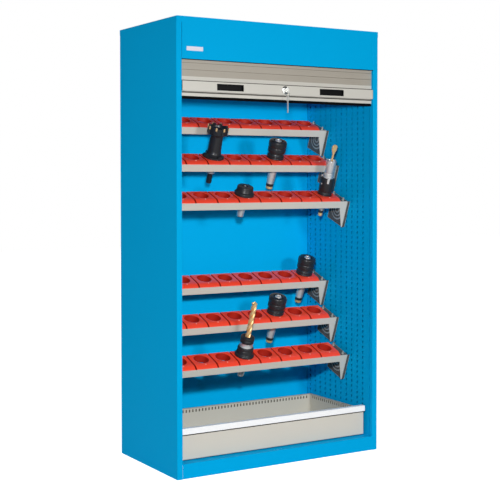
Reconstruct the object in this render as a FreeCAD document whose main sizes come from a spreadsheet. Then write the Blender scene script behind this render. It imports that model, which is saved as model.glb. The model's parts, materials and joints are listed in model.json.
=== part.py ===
import FreeCAD, Part
import Sketcher
import math
import os
from FreeCAD import Placement, Rotation, Vector

# Roll front tool cabinet: a sheet steel cabinet with a slatted curtain that winds onto a barrel in
# the header, six sloping racks of plastic tool inserts and one drawer on telescopic runners.
# Millimetres. +X right, +Y back, +Z up. The origin is at the base, in the middle of the overall box.

doc = FreeCAD.newDocument("roll_front_tool_cabinet")
sheet = doc.addObject("Spreadsheet::Sheet", "sizes")

SIZES = [
    # cabinet
    ("width", 1023, "overall width"),
    ("depth", 555, "depth of the cabinet, front face to rear edge"),
    ("height", 1905, "overall height"),
    ("metal", 1.5, "thickness of the cabinet's sheet steel"),
    ("fold_radius", 1.5, "inside radius of a fold in sheet steel"),
    ("key_reach", 29.5, "how far the key and its ring stand out in front"),
    ("post_width", 25, "face width of a front post"),
    ("post_return", 13.6, "depth of a post's folded return"),
    ("header", 173, "height of the header fascia"),
    ("header_lip", 9, "depth of the fascia's folded lower lip"),
    ("plinth", 62, "height of the plinth rail"),
    ("plinth_shelf", 30, "depth of the plinth rail's top flange"),
    ("cap_skirt", 25, "height of the top cover's skirt"),
    ("rear_flange", 15, "width of the side panels' rear flange"),
    ("back_inset", 15.5, "recess of the back panel from the rear edge"),
    ("seam", 0.3, "gap at a seam between two sheet metal pieces"),
    # perforated inner walls
    ("hole_size", 9, "side of a square wall hole"),
    ("hole_column", 43.5, "pitch of the hole columns, front to back"),
    ("hole_row", 24, "pitch of the hole rows, up and down"),
    ("hole_back", 28, "back panel to the rearmost hole column"),
    ("hole_floor", 40, "plinth's top to the lowest hole row"),
    # curtain
    ("slat_pitch", 28, "height of one slat from pivot to pivot"),
    ("slat_thick", 6.8, "thickness of a slat"),
    ("knuckle_radius", 2.25, "radius of a slat's knuckle"),
    ("socket_radius", 2.7, "radius of a slat's socket, at its corners"),
    ("neck", 1.1, "half thickness of the neck that carries the knuckle"),
    ("shoulder", 3.6, "drop from the knuckle's centre to the slat's front shoulder"),
    ("back_shoulder", 5.6, "drop to the slat's back shoulder, which leaves room to fold"),
    ("knuckle_sweep", 150, "degrees that a knuckle's round reaches down from its top, each side"),
    ("back_sweep", 100, "degrees that a socket's back lip reaches down from its top"),
    ("guide_wall", 1.5, "wall of a guide channel"),
    ("guide_gap", 0.8, "gap between slat and guide, each side"),
    ("guide_depth", 13, "depth of the guide channel, sideways"),
    ("slat_end_gap", 1.2, "gap between a slat's end and the guide's floor"),
    ("guide_rise", 30, "how far a guide reaches above the fascia's lower edge"),
    ("layer_pitch", 10, "distance from one wound layer to the next"),
    ("barrel_radius", 26, "outer radius of the winding barrel"),
    ("barrel_wall", 1.5, "wall of the barrel tube"),
    ("shaft_radius", 7, "radius of the fixed shaft"),
    ("run_slats", 2, "slats between the roll and the slats below it"),
    ("front_slats", 3, "slats that hang on the bottom rail"),
    ("bracket_plate", 3, "thickness of a barrel bracket"),
    # bottom rail of the curtain
    ("hang", 163, "fascia's lower edge to the seal's underside, curtain open"),
    ("seal_height", 12, "height of the rubber seal"),
    ("seal_thick", 6, "thickness of the rubber seal"),
    ("rail_low_band", 20, "height of the rail's lower band"),
    ("rail_band", 41, "height of the rail's raised band"),
    ("rail_high_band", 19, "height of the rail's upper band"),
    ("band_groove", 2.5, "height of the grooves above and below the raised band"),
    ("groove_depth", 1, "depth of those grooves"),
    ("band_setback", 0.5, "raised band's face behind the cabinet's front plane"),
    ("band_end_gap", 2.5, "gap between the raised band's end and the post"),
    ("end_cap", 1.5, "thickness of the plastic caps on the raised band's ends"),
    ("pull_width", 129, "width of a recessed pull"),
    ("pull_height", 27.5, "height of a recessed pull"),
    ("pull_offset", 258, "middle of the cabinet to the middle of a pull"),
    ("pull_depth", 15, "depth of a recessed pull"),
    ("pull_rim", 3, "wall of a recessed pull"),
    ("fit_gap", 0.1, "gap round a piece that is let into another"),
    # lock and keys
    ("lock_offset", 15, "middle of the cabinet to the lock"),
    ("lock_rose", 18.5, "radius of the lock's rose"),
    ("rose_thick", 2, "thickness of the lock's rose"),
    ("lock_body", 12, "radius of the lock's housing"),
    ("plug_radius", 8, "radius of the lock's plug"),
    ("running_gap", 0.05, "radial gap of a turning fit"),
    ("cam_length", 62, "lock's axis to the tip of its cam"),
    ("cam_width", 16, "width of the cam"),
    ("cam_thick", 2.5, "thickness of the cam"),
    ("cam_slack", 1.5, "gap round the cam in the plinth's slot"),
    ("cam_swing", 44, "lock's axis to the end of the slot, where the cam's tip swings in"),
    ("key_thick", 2, "thickness of a key"),
    ("key_bow", 12.5, "radius of a key's bow"),
    ("key_eye", 3.2, "radius of the eye in a key's bow"),
    ("eye_offset", 7, "middle of a key's bow to its eye"),
    ("key_blade", 8, "width of a key's blade"),
    ("blade_length", 24, "length of the used key's blade"),
    ("spare_blade", 48, "length of the spare key's blade"),
    ("ring_radius", 10, "mean radius of the key ring"),
    ("ring_wire", 1.6, "thickness of the key ring's wire"),
    ("ring_play", 0.9, "gap between the key ring's wire and the foot of the eye it hangs in"),
    # racks
    ("rack_tilt", 21, "slope of a rack, rising to the back"),
    ("first_column", 1, "hole column, counted from the back, that the rearmost racks hook into"),
    ("step_columns", 2, "hole columns between one rack and the next"),
    ("first_row", 13, "hole row, counted from the floor, that the lowest rack hooks into"),
    ("step_rows", 7, "hole rows between one rack and the next"),
    ("group_rows", 30, "hole rows between the two groups of racks"),
    ("hook_reach", 115, "rack's front corner back to its hooks"),
    ("hook_rows", 3, "hole rows between a bracket's two hooks"),
    ("hook_size", 5, "side of a hook's square shank"),
    ("strip", 36, "width of the closing strip at a rack's ends"),
    ("rack_depth", 112, "front to back of a rack frame"),
    ("lip_height", 33, "height of a rack's front lip"),
    ("rack_metal", 1.5, "thickness of a rack's sheet steel"),
    ("ledge", 10, "width of the ledges that carry the inserts"),
    ("ear_height", 130, "height of the rack's tapering end, and of its bracket"),
    ("ear_tip", 5, "width of the tapering end's tip"),
    ("tooth", 4, "depth of the tooth at a hook's end"),
    ("bracket_width", 14, "width of a rack bracket, wall to frame"),
    ("bracket_metal", 2, "thickness of a rack bracket"),
    ("bracket_depth", 128, "front to back of a rack bracket"),
    ("insert_count", 8, "inserts in a rack"),
    ("insert_gap", 3.4, "gap between two inserts"),
    ("insert_height", 33, "height of an insert"),
    ("insert_proud", 12, "how far an insert stands above the lip"),
    ("insert_edge", 1, "height of an insert's front edge above the lip"),
    ("insert_nose", 25, "front to back of an insert's sloping front"),
    ("socket_bore", 34, "radius of an insert's socket"),
    ("socket_sides", 12, "flats round a socket"),
    ("socket_back", 67, "rack's front to the middle of the sockets"),
    ("turned_sides", 16, "flats that stand for the round of a turned tool"),
    # drawer
    ("drawer_side_gap", 24.5, "inner wall to the drawer's side"),
    ("drawer_base", 4, "floor to the drawer front's lower edge"),
    ("drawer_height", 134, "height of the drawer front with its handle"),
    ("drawer_setback", 48, "front plane to the drawer front's face"),
    ("drawer_length", 426, "front to back of the drawer body"),
    ("drawer_metal", 1.2, "thickness of the drawer's sheet steel"),
    ("drawer_rim", 13, "drawer body's rim below the top of the handle"),
    ("drawer_lift", 5, "drawer's underside above the front's lower edge"),
    ("rim_fold", 8, "width of the drawer body's folded rim"),
    ("slot_pitch", 17, "pitch of the divider slots"),
    ("slot_width", 7, "width of a divider slot"),
    ("slot_height", 13, "height of a divider slot"),
    ("slot_drop", 9, "rim to the top of a divider slot"),
    ("handle_height", 25, "height of the drawer's handle strip"),
    ("handle_reach", 12, "handle strip's face in front of the drawer front"),
    ("handle_wall", 2.5, "wall of the handle strip"),
    ("front_lap", 8, "drawer front past the drawer's side at each end"),
    ("front_depth", 12, "depth of the drawer front's returns"),
    ("runner_level", 40, "drawer's underside to the middle of the runners"),
    ("runner_length", 420, "length of a runner member"),
    ("runner_height", 44, "height of a runner"),
    ("runner_metal", 2, "thickness of a runner's steel"),
    ("runner_gap", 0.3, "sliding gap between two runner members"),
    ("runner_web_gap", 2.2, "sideways gap between two runner webs"),
    ("runner_lap", 14, "width of a runner's flanges"),
]


class Size:
    """A length with the spreadsheet expression that gives it."""

    def __init__(self, value, text):
        self.value = float(value)
        self.text = text

    def __add__(self, other):
        other = size_of(other)
        return Size(self.value + other.value, "(%s + %s)" % (self.text, other.text))

    def __sub__(self, other):
        other = size_of(other)
        return Size(self.value - other.value, "(%s - %s)" % (self.text, other.text))

    def __mul__(self, other):
        other = size_of(other)
        return Size(self.value * other.value, "(%s * %s)" % (self.text, other.text))

    def __truediv__(self, other):
        other = size_of(other)
        return Size(self.value / other.value, "(%s / %s)" % (self.text, other.text))

    def __neg__(self):
        return Size(-self.value, "(-%s)" % self.text)

    def __radd__(self, other):
        return size_of(other) + self

    def __rsub__(self, other):
        return size_of(other) - self

    def __rmul__(self, other):
        return size_of(other) * self


def size_of(number):
    """A Size, also of a plain number."""
    if isinstance(number, Size):
        return number
    return Size(number, "%.6f" % number)


class Sheet:
    """The spreadsheet's cells as Sizes, by alias: S.width is the overall width."""


S = Sheet()
for row, (alias, value, note) in enumerate(SIZES, 1):
    sheet.set("A%d" % row, note)
    sheet.set("B%d" % row, str(value))
    sheet.setAlias("B%d" % row, alias)
    setattr(S, alias, Size(value, "sizes.%s" % alias))
doc.recompute()

nodes = {}


def bind(thing, prop, size):
    """Ties one property to the spreadsheet."""
    thing.setExpression(prop, size_of(size).text)


def bind_place(thing, x, y, z):
    """Ties an object's place to the spreadsheet."""
    for axis, size in zip("xyz", (x, y, z)):
        bind(thing, "Placement.Base.%s" % axis, size)


def node(label, thing):
    """Names an object as one sub-part, to be written to parts/LABEL.step."""
    thing.Label = label
    nodes[label] = thing
    return thing


def box(name, x, y, z):
    """A block between the low and high ends given for each axis."""
    block = doc.addObject("Part::Box", name)
    for prop, (low, high) in zip(("Length", "Width", "Height"), (x, y, z)):
        bind(block, prop, size_of(high) - low)
    bind_place(block, x[0], y[0], z[0])
    return block


TURN_TO = {"x": Rotation(Vector(0, 1, 0), 90), "y": Rotation(Vector(1, 0, 0), -90), "z": Rotation()}


def rod(name, radius, axis, start, length):
    """A round bar that runs from start in the direction of +axis."""
    bar = doc.addObject("Part::Cylinder", name)
    bar.Placement.Rotation = TURN_TO[axis]
    bind(bar, "Radius", radius)
    bind(bar, "Height", length)
    bind_place(bar, *start)
    return bar


def fuse(name, *shapes):
    """One solid of several that touch."""
    joined = doc.addObject("Part::MultiFuse", name)
    joined.Shapes = list(shapes)
    joined.Refine = True
    return joined


def cut(name, base, *tools):
    """The base with the tools taken away."""
    less = doc.addObject("Part::Cut", name)
    less.Base = base
    less.Tool = tools[0] if len(tools) == 1 else group(name + "_tools", *tools)
    less.Refine = True
    return less


def group(name, *things):
    """Several separate solids in one object."""
    bundle = doc.addObject("Part::Compound", name)
    bundle.Links = list(things)
    return bundle


def mirrored(name, source):
    """The same piece on the other side of the cabinet."""
    twin = doc.addObject("Part::Mirroring", name)
    twin.Source = source
    twin.Normal = Vector(1, 0, 0)
    return twin


def outline(body, name, plane, points):
    """A closed outline on one of the body's origin planes, with every corner tied to the sheet."""
    sketch = body.newObject("Sketcher::SketchObject", name)
    origin_plane = [f for f in body.Origin.OriginFeatures if f.Role == plane + "_Plane"][0]
    sketch.AttachmentSupport = [(origin_plane, "")]
    sketch.MapMode = "FlatFace"
    corners = [(size_of(a), size_of(b)) for a, b in points]
    places = [Vector(a.value, b.value, 0) for a, b in corners]
    for index, place in enumerate(places):
        sketch.addGeometry(Part.LineSegment(place, places[(index + 1) % len(places)]), False)
    for index, (across, along) in enumerate(corners):
        before = (index - 1) % len(corners)
        sketch.addConstraint(Sketcher.Constraint("Coincident", before, 2, index, 1))
        for kind, size in (("DistanceX", across), ("DistanceY", along)):
            number = sketch.addConstraint(Sketcher.Constraint(kind, -1, 1, index, 1, size.value))
            bind(sketch, "Constraints[%d]" % number, size)
    return sketch


def pad(name, plane, points, low, high):
    """A prism: an outline on the XY, XZ or YZ plane, drawn out from low to high along its normal."""
    body = doc.addObject("PartDesign::Body", name)
    sketch = outline(body, name + "_outline", plane, points)
    solid = body.newObject("PartDesign::Pad", name + "_pad")
    solid.Profile = sketch
    low = size_of(low)
    high = size_of(high)
    bind(solid, "Length", high - low)
    # the XZ plane's normal is -Y, so its outline starts at the high end
    start = high if plane == "XZ" else low
    bind(body, "Placement.Base.%s" % {"XY": "z", "XZ": "y", "YZ": "x"}[plane], start)
    body.Tip = solid
    return body


def many_sided(radius, sides):
    """Corners of a regular polygon about the origin, with a flat towards each axis."""
    angles = [math.radians(360 * (index + 0.5) / sides) for index in range(sides)]
    return [(math.cos(angle) * radius, math.sin(angle) * radius) for angle in angles]


def turned(name, points):
    """A turned piece from its outline of (radius, height) corners, foot first.

    Narrow flats stand for its round, so that many tapers stay light.
    """
    sides = round(S.turned_sides.value)
    rings = [[Vector(x, y, height) for x, y in many_sided(radius, sides)] for radius, height in points]
    faces = [Part.Face(Part.makePolygon(ring + ring[:1])) for ring in (rings[0], rings[-1])]
    for low, high in zip(rings, rings[1:]):
        for index in range(sides):
            after = (index + 1) % sides
            corners = [low[index], low[after], high[after], high[index], low[index]]
            faces.append(Part.Face(Part.makePolygon(corners)))
    piece = doc.addObject("Part::Feature", name)
    piece.Shape = Part.makeSolid(Part.makeShell(faces)).removeSplitter()
    return piece


def rounded(name, base, axis, folds):
    """The base with edges along an axis rounded: folds holds each radius and its edge's place.

    The place is the edge's two coordinates across the axis.
    """
    doc.recompute()
    across = [letter for letter in "xyz" if letter != axis]
    picked = []
    for radius, first, second in folds:
        place = Vector(first.value, size_of(second).value, 0)
        for number, edge in enumerate(base.Shape.Edges, 1):
            ends = []
            for corner in edge.Vertexes:
                ends.append(Vector(*(getattr(corner.Point, letter) for letter in across), 0))
            if len(ends) == 2 and all(end.isEqual(place, 0.001) for end in ends):
                picked.append((number, radius.value, radius.value))
    fillet = doc.addObject("Part::Fillet", name)
    fillet.Base = base
    fillet.Edges = picked
    return fillet


def copies(name, shape, placements):
    """A group of equal solids, one at each placement."""
    bundle = doc.addObject("Part::Feature", name)
    solids = []
    for place in placements:
        solid = shape.copy()
        solid.Placement = place.multiply(shape.Placement)
        solids.append(solid)
    bundle.Shape = Part.makeCompound(solids) if len(solids) > 1 else solids[0]
    return bundle


# Planes that most pieces line up with.
front = (S.key_reach - S.depth) / 2
back = front + S.depth
side = S.width / 2
inner = side - S.post_width
shell = side - S.metal
head = S.height - S.header
skirt_foot = S.height - S.cap_skirt
outside_fold = S.fold_radius + S.metal
back_face = back - S.back_inset
guide_front = front + S.post_return
guide_back = guide_front + (S.guide_wall + S.guide_gap) * 2 + S.slat_thick
curtain = (guide_front + guide_back) / 2
curtain_front = curtain - S.slat_thick / 2
curtain_back = curtain + S.slat_thick / 2
slat_end = inner + S.guide_depth - S.slat_end_gap


def cabinet_shell():
    """Folded side panels with their front posts, back panel, top cover and header fascia."""
    panel = pad("side_sheet", "XY", [
        (-side, back), (-side, front), (-inner, front), (-inner, guide_front),
        (-inner - S.metal, guide_front), (-inner - S.metal, front + S.metal),
        (-shell, front + S.metal), (-shell, back - S.metal),
        (-side + S.rear_flange, back - S.metal), (-side + S.rear_flange, back)], 0, skirt_foot)
    panel = rounded("side_folds", panel, "z", [
        (outside_fold, -side, front), (S.fold_radius, -shell, front + S.metal),
        (outside_fold, -inner, front), (S.fold_radius, -inner - S.metal, front + S.metal),
        (outside_fold, -side, back), (S.fold_radius, -shell, back - S.metal)])
    node("left_side_panel", panel)
    node("right_side_panel", mirrored("right_side_sheet", panel))

    wide = shell - S.fold_radius
    rim = back - S.metal
    node("back_panel", pad("back_sheet", "XY", [
        (-wide, back_face), (wide, back_face), (wide, rim), (wide - S.metal, rim),
        (wide - S.metal, back_face + S.metal), (-wide + S.metal, back_face + S.metal),
        (-wide + S.metal, rim), (-wide, rim)], 0, S.height - S.metal))

    cover = box("cover_block", (-side, side), (front + S.metal, back), (skirt_foot, S.height))
    hollow = box("cover_hollow", (-shell, shell), (front, back - S.metal),
                 (skirt_foot - 1, S.height - S.metal))
    folds = [(outside_fold, -side, S.height), (outside_fold, side, S.height)]
    node("top_cover", rounded("cover_folds", cut("cover_sheet", cover, hollow), "y", folds))

    clear = inner - S.seam
    face = pad("fascia_face", "XZ", [
        (-clear, head), (clear, head), (clear, skirt_foot), (side, skirt_foot),
        (side, S.height), (-side, S.height), (-side, skirt_foot), (-clear, skirt_foot)],
        front, front + S.metal)
    lip = box("fascia_lip", (-clear, clear), (front, front + S.header_lip), (head, head + S.metal))
    node("header_fascia", rounded("fascia_corners", fuse("fascia_sheet", face, lip), "y", folds))

    cover_top = head + S.metal
    node("roll_cover", box("roll_cover_sheet", (-shell, shell), (guide_back + S.seam, back_face),
                           (head, cover_top)))


def cabinet_base():
    """Plinth rail with the slot that takes the lock's cam, and the floor pan on its own skirts."""
    shelf = front + S.plinth_shelf
    low = S.plinth - S.metal
    toe = front + S.plinth_shelf / 2
    rail = pad("plinth_fold", "YZ", [
        (front, 0), (toe, 0), (toe, S.metal), (front + S.metal, S.metal), (front + S.metal, low),
        (shelf, low), (shelf, S.plinth), (front, S.plinth)],
        -inner, inner)
    rail = rounded("plinth_folds", rail, "x", [
        (outside_fold, front, 0), (S.fold_radius, front + S.metal, S.metal),
        (outside_fold, front, S.plinth), (S.fold_radius, front + S.metal, low)])
    half = S.cam_width / 2 + S.cam_slack
    slot = box("cam_slot", (S.lock_offset - S.cam_swing, S.lock_offset + half),
               (cam_front - S.cam_slack, cam_front + S.cam_thick + S.cam_slack), (low - 1, S.plinth + 1))
    node("plinth_rail", cut("plinth_sheet", rail, slot))
    node("floor_pan", pad("floor_sheet", "XZ", [
        (-shell, 0), (-shell + S.metal, 0), (-shell + S.metal, low), (shell - S.metal, low),
        (shell - S.metal, 0), (shell, 0), (shell, S.plinth), (-shell, S.plinth)],
        shelf, back_face))


def hole_place(column, row):
    """Middle of a wall hole: columns count from the back, rows from the floor."""
    return back_face - S.hole_back - S.hole_column * column, S.plinth + S.hole_floor + S.hole_row * row


def rack_holes():
    """Column and row of the hole that each rack's upper hook goes into, lowest rack first."""
    spots = []
    for group_number in (0, 1):
        for step in (0, 1, 2):
            column = S.first_column + S.step_columns * (2 - step)
            row = S.first_row + S.group_rows * group_number + S.step_rows * step
            spots.append((column, row))
    return spots


def inner_walls():
    """Perforated walls that close the side panels on the inside and carry the racks.

    The real walls have a hole at every column and row: the solids carry every third column and
    twelfth row, and each hole that a rack hooks into.
    """
    wall = pad("wall_fold", "XY", [
        (inner, guide_back), (shell, guide_back), (shell, guide_back + S.metal),
        (inner + S.metal, guide_back + S.metal), (inner + S.metal, back_face - S.metal),
        (shell, back_face - S.metal), (shell, back_face), (inner, back_face)], S.plinth, head)
    columns = int((back_face - S.hole_back - S.hole_size - guide_back).value / S.hole_column.value) + 1
    rows = int((head - S.plinth - S.hole_floor - S.hole_size).value / S.hole_row.value) + 1
    spots = {(column, row) for column in range(1, columns, 3) for row in range(1, rows, 12)}
    for column, row in rack_holes():
        spots.add((round(column.value), round(row.value)))
        spots.add((round(column.value), round((row - S.hook_rows).value)))
    punch = Part.makeBox(S.metal.value * 3, S.hole_size.value, S.hole_size.value)
    places = []
    for column, row in sorted(spots):
        y, z = hole_place(column, row)
        places.append(Placement(Vector((inner - S.metal).value, (y - S.hole_size / 2).value,
                                       (z - S.hole_size / 2).value), Rotation()))
    right = cut("wall_sheet", wall, copies("wall_punches", punch, places))
    node("right_inner_wall", right)
    node("left_inner_wall", mirrored("left_wall_sheet", right))


def curtain_guides():
    """Two channels behind the posts' returns that the slat ends run in."""
    floor = inner + S.guide_depth
    outer = floor + S.guide_wall
    channel = pad("guide_channel", "XY", [
        (inner, guide_front), (outer, guide_front), (outer, guide_back), (inner, guide_back),
        (inner, guide_back - S.guide_wall), (floor, guide_back - S.guide_wall),
        (floor, guide_front + S.guide_wall), (inner, guide_front + S.guide_wall)],
        S.plinth, head + S.guide_rise)
    node("curtain_guides", group("guide_pair", channel, mirrored("left_channel", channel)))


# Curtain: the bottom rail's levels, and the pivots of the slats above it.
seal_foot = head - S.hang
rail_foot = seal_foot + S.seal_height
band_foot = rail_foot + S.rail_low_band
band_top = band_foot + S.rail_band
rail_top = band_top + S.rail_high_band
lock_level = (band_foot + band_top) / 2
first_pivot = rail_top + S.shoulder
travel = seal_foot - S.plinth - S.seam
barrel_level = (head + S.height) / 2
band_face = front + S.band_setback
housing_back = curtain_back + S.rose_thick / 2
cam_front = housing_back + S.seam


def ring_points(radius, first, last):
    """Corners on an arc over the origin, between angles down from its top, in degrees."""
    corners = []
    steps = 4
    for index in range(steps + 1):
        angle = math.radians((first + (last - first) * index / steps).value)
        corners.append((radius * math.sin(angle), radius * math.cos(angle)))
    return corners


def knuckle():
    """Half outline of the hook at the top of a slat: a knuckle on a neck, seen from the end."""
    return ring_points(S.knuckle_radius, -S.knuckle_sweep, S.knuckle_sweep)


def slat_profile():
    """Cross-section of a slat with its upper pivot at the origin and its front towards -X.

    The socket at its foot wraps the knuckle below, further at the front than at the back, so
    that the slats hold together and still fold backwards round the barrel.
    """
    half = S.slat_thick / 2
    socket = [(x, z - S.slat_pitch) for x, z in ring_points(S.socket_radius, -S.knuckle_sweep, S.back_sweep)]
    front_lip = socket[0][1]
    back_lip = socket[-1][1]
    top = [(-S.neck, -S.shoulder)] + knuckle() + [(S.neck, -S.shoulder)]
    foot = [(half, -S.back_shoulder), (half, back_lip)] + socket[::-1]
    return top + foot + [(-half, front_lip), (-half, -S.shoulder)]


def slat_place(y, z, lean):
    """Placement of a slat with its upper pivot at y, z, leaning back by an angle in degrees."""
    return Placement(Vector(0, y, z), Rotation(Vector(1, 0, 0), -lean))


def roll_pivots():
    """Pivots of the wound slats about the barrel's axis, innermost first, and the turns they make.

    The pivots lie on a spiral that grows by one layer a turn, one slat apart.
    """
    pitch = S.slat_pitch.value
    growth = S.layer_pitch.value / (2 * math.pi)
    seat = (S.barrel_radius + S.seam + S.slat_thick / 2).value
    radius = math.hypot(seat, pitch / 2)
    count = math.ceil(travel.value / pitch)
    angle = 0.0
    pivots = [(radius, angle)]
    for index in range(count):
        step = 2 * math.asin(pitch / (2 * radius))
        for repeat in range(8):
            wider = radius + growth * step
            step = 2 * math.asin(math.sqrt((pitch ** 2 - (wider - radius) ** 2) / (4 * radius * wider)))
        radius += growth * step
        angle += step
        pivots.append((radius, angle))
    return pivots, angle


def roll_frame():
    """The roll's axis and its pivots as (y, z): the last pivot meets the straight curtain."""
    pivots, angle = roll_pivots()
    outer = pivots[-1][0]
    join = first_pivot + S.slat_pitch * (S.front_slats + S.run_slats)
    dip = math.asin((barrel_level - join).value / outer)
    axis_y = curtain.value + outer * math.cos(dip)
    places = []
    for radius, turn in pivots:
        lead = angle - turn - dip
        places.append((axis_y - radius * math.cos(lead), barrel_level.value + radius * math.sin(lead)))
    return axis_y, places, angle


def curtain_slats(slat):
    """Slats that hang on the bottom rail, the run above them and the slats wound on the barrel."""
    straight = []
    for index in range(int(S.front_slats.value + S.run_slats.value)):
        level = (first_pivot + S.slat_pitch * (index + 1)).value
        straight.append(slat_place(curtain.value, level, 0))
    hanging = int(S.front_slats.value)
    node("front_slats", copies("hanging_slats", slat.Shape, straight[:hanging]))
    node("curtain_run", copies("passing_slats", slat.Shape, straight[hanging:]))
    axis_y, pivots, angle = roll_frame()
    wound = []
    for (y1, z1), (y0, z0) in zip(pivots, pivots[1:]):
        lean = math.degrees(math.atan2(y1 - y0, z1 - z0))
        wound.append(slat_place(y1, z1, lean))
    node("wound_slats", copies("rolled_slats", slat.Shape, wound))


def winding_gear(axis_y):
    """Barrel with its end plugs, the fixed shaft it turns on, the spring and the side brackets."""
    end = slat_end - S.bracket_plate * 2
    centre = (axis_y, barrel_level)
    bore = S.barrel_radius - S.barrel_wall
    tube = rod("barrel_bar", S.barrel_radius, "x", (-end, *centre), end * 2)
    hollow = rod("barrel_bore", bore, "x", (-end - 1, *centre), end * 2 + 2)
    node("barrel_tube", cut("barrel_pipe", tube, hollow))
    plug_length = S.barrel_radius
    disc = rod("plug_disc", bore, "x", (end - plug_length, *centre), plug_length)
    eye = rod("plug_bore", S.shaft_radius + S.running_gap, "x", (end - plug_length - 1, *centre),
              plug_length + 2)
    plug = cut("plug_ring", disc, eye)
    node("barrel_plugs", group("plug_pair", plug, mirrored("left_plug", plug)))
    reach = shell - S.seam
    node("barrel_shaft", rod("shaft_bar", S.shaft_radius, "x", (-reach, *centre), reach * 2))
    coil_end = -end + plug_length + S.seam
    coil = rod("spring_bar", S.shaft_radius * 2, "x", (coil_end, *centre), -coil_end)
    node("torsion_spring", cut("spring_coil", coil, rod(
        "spring_bore", S.shaft_radius + S.seam, "x", (coil_end - 1, *centre), 2 - coil_end)))
    half = S.barrel_radius * 2
    plate = box("bracket_sheet", (shell - S.bracket_plate, shell), (centre[0] - half, centre[0] + half),
                (barrel_level - half, barrel_level + half))
    hole = rod("bracket_hole", S.shaft_radius + S.running_gap, "x", (shell - S.bracket_plate * 2, *centre),
               S.bracket_plate * 3)
    bracket = cut("bracket", plate, hole)
    node("barrel_brackets", group("bracket_pair", bracket, mirrored("left_bracket", bracket)))


def bottom_rail():
    """Extruded rail at the curtain's foot, with its seal and its two recessed pulls."""
    hook = [(y + curtain, z + first_pivot) for y, z in knuckle()[::-1]]
    back_top = [(curtain_back, rail_top), (curtain + S.neck, rail_top)]
    front_top = [(curtain - S.neck, rail_top), (curtain_front, rail_top)]
    foot = [(curtain_front, rail_foot), (curtain_back, rail_foot)]
    back_plate = pad("rail_plate", "YZ", foot + back_top + hook + front_top, -slat_end, slat_end)
    reach = inner - S.band_end_gap
    band = box("rail_band", (-reach, reach), (band_face, curtain_front), (band_foot, band_top))
    tools = []
    for label, level in (("low", band_foot - S.band_groove), ("high", band_top)):
        tools.append(box(label + "_groove", (-slat_end - 1, slat_end + 1),
                         (curtain_front - 1, curtain_front + S.groove_depth), (level, level + S.band_groove)))
    for label, middle in (("left", -S.pull_offset), ("right", S.pull_offset)):
        tools.append(box(label + "_pull_pocket", (middle - S.pull_width / 2, middle + S.pull_width / 2),
                         (band_face - 1, band_face + S.pull_depth),
                         (lock_level - S.pull_height / 2, lock_level + S.pull_height / 2)))
    tools.append(rod("lock_hole", S.lock_body + S.fit_gap, "y", (S.lock_offset, band_face - 1, lock_level),
                     curtain_back - band_face + 2))
    node("bottom_rail", cut("rail_extrusion", fuse("rail_blank", back_plate, band), *tools))
    seal_half = S.seal_thick / 2
    node("rail_seal", box("seal_strip", (-inner, inner), (curtain - seal_half, curtain + seal_half),
                          (seal_foot, rail_foot)))
    cap = box("end_cap", (reach, reach + S.end_cap), (band_face, curtain_front), (band_foot, band_top))
    node("rail_end_caps", group("cap_pair", cap, mirrored("left_cap", cap)))

    wide = S.pull_width / 2 - S.fit_gap
    tall = S.pull_height / 2 - S.fit_gap
    cup = box("pull_block", (S.pull_offset - wide, S.pull_offset + wide),
              (band_face, band_face + S.pull_depth), (lock_level - tall, lock_level + tall))
    mouth = box("pull_mouth", (S.pull_offset - wide + S.pull_rim, S.pull_offset + wide - S.pull_rim),
                (band_face - 1, band_face + S.pull_depth - S.pull_rim),
                (lock_level - tall + S.pull_rim, lock_level + tall - S.pull_rim))
    pull = cut("pull_cup", cup, mouth)
    node("rail_pulls", group("pull_pair", pull, mirrored("left_pull", pull)))


def key(name, x, y, z, blade_axis, length):
    """A flat key, thin from side to side: its bow's middle is at x, y, z."""
    plate = (x - S.key_thick / 2, x + S.key_thick / 2)
    bow = pad(name + "_bow", "YZ", round_corners(S.key_bow, y, z), *plate)
    half = S.key_blade / 2
    reach = S.key_bow + length
    if blade_axis == "y":
        blade = box(name + "_blade", plate, (y, y + reach), (z - half, z + half))
    else:
        blade = box(name + "_blade", plate, (y - half, y + half), (z - reach, z))
    return fuse(name + "_blank", bow, blade)


def round_corners(radius, across, up):
    """Outline of a small round edge about a middle, with as many flats as a turned tool."""
    sides = round(S.turned_sides.value)
    return [(across + a, up + b) for a, b in many_sided(radius, sides)]


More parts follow.
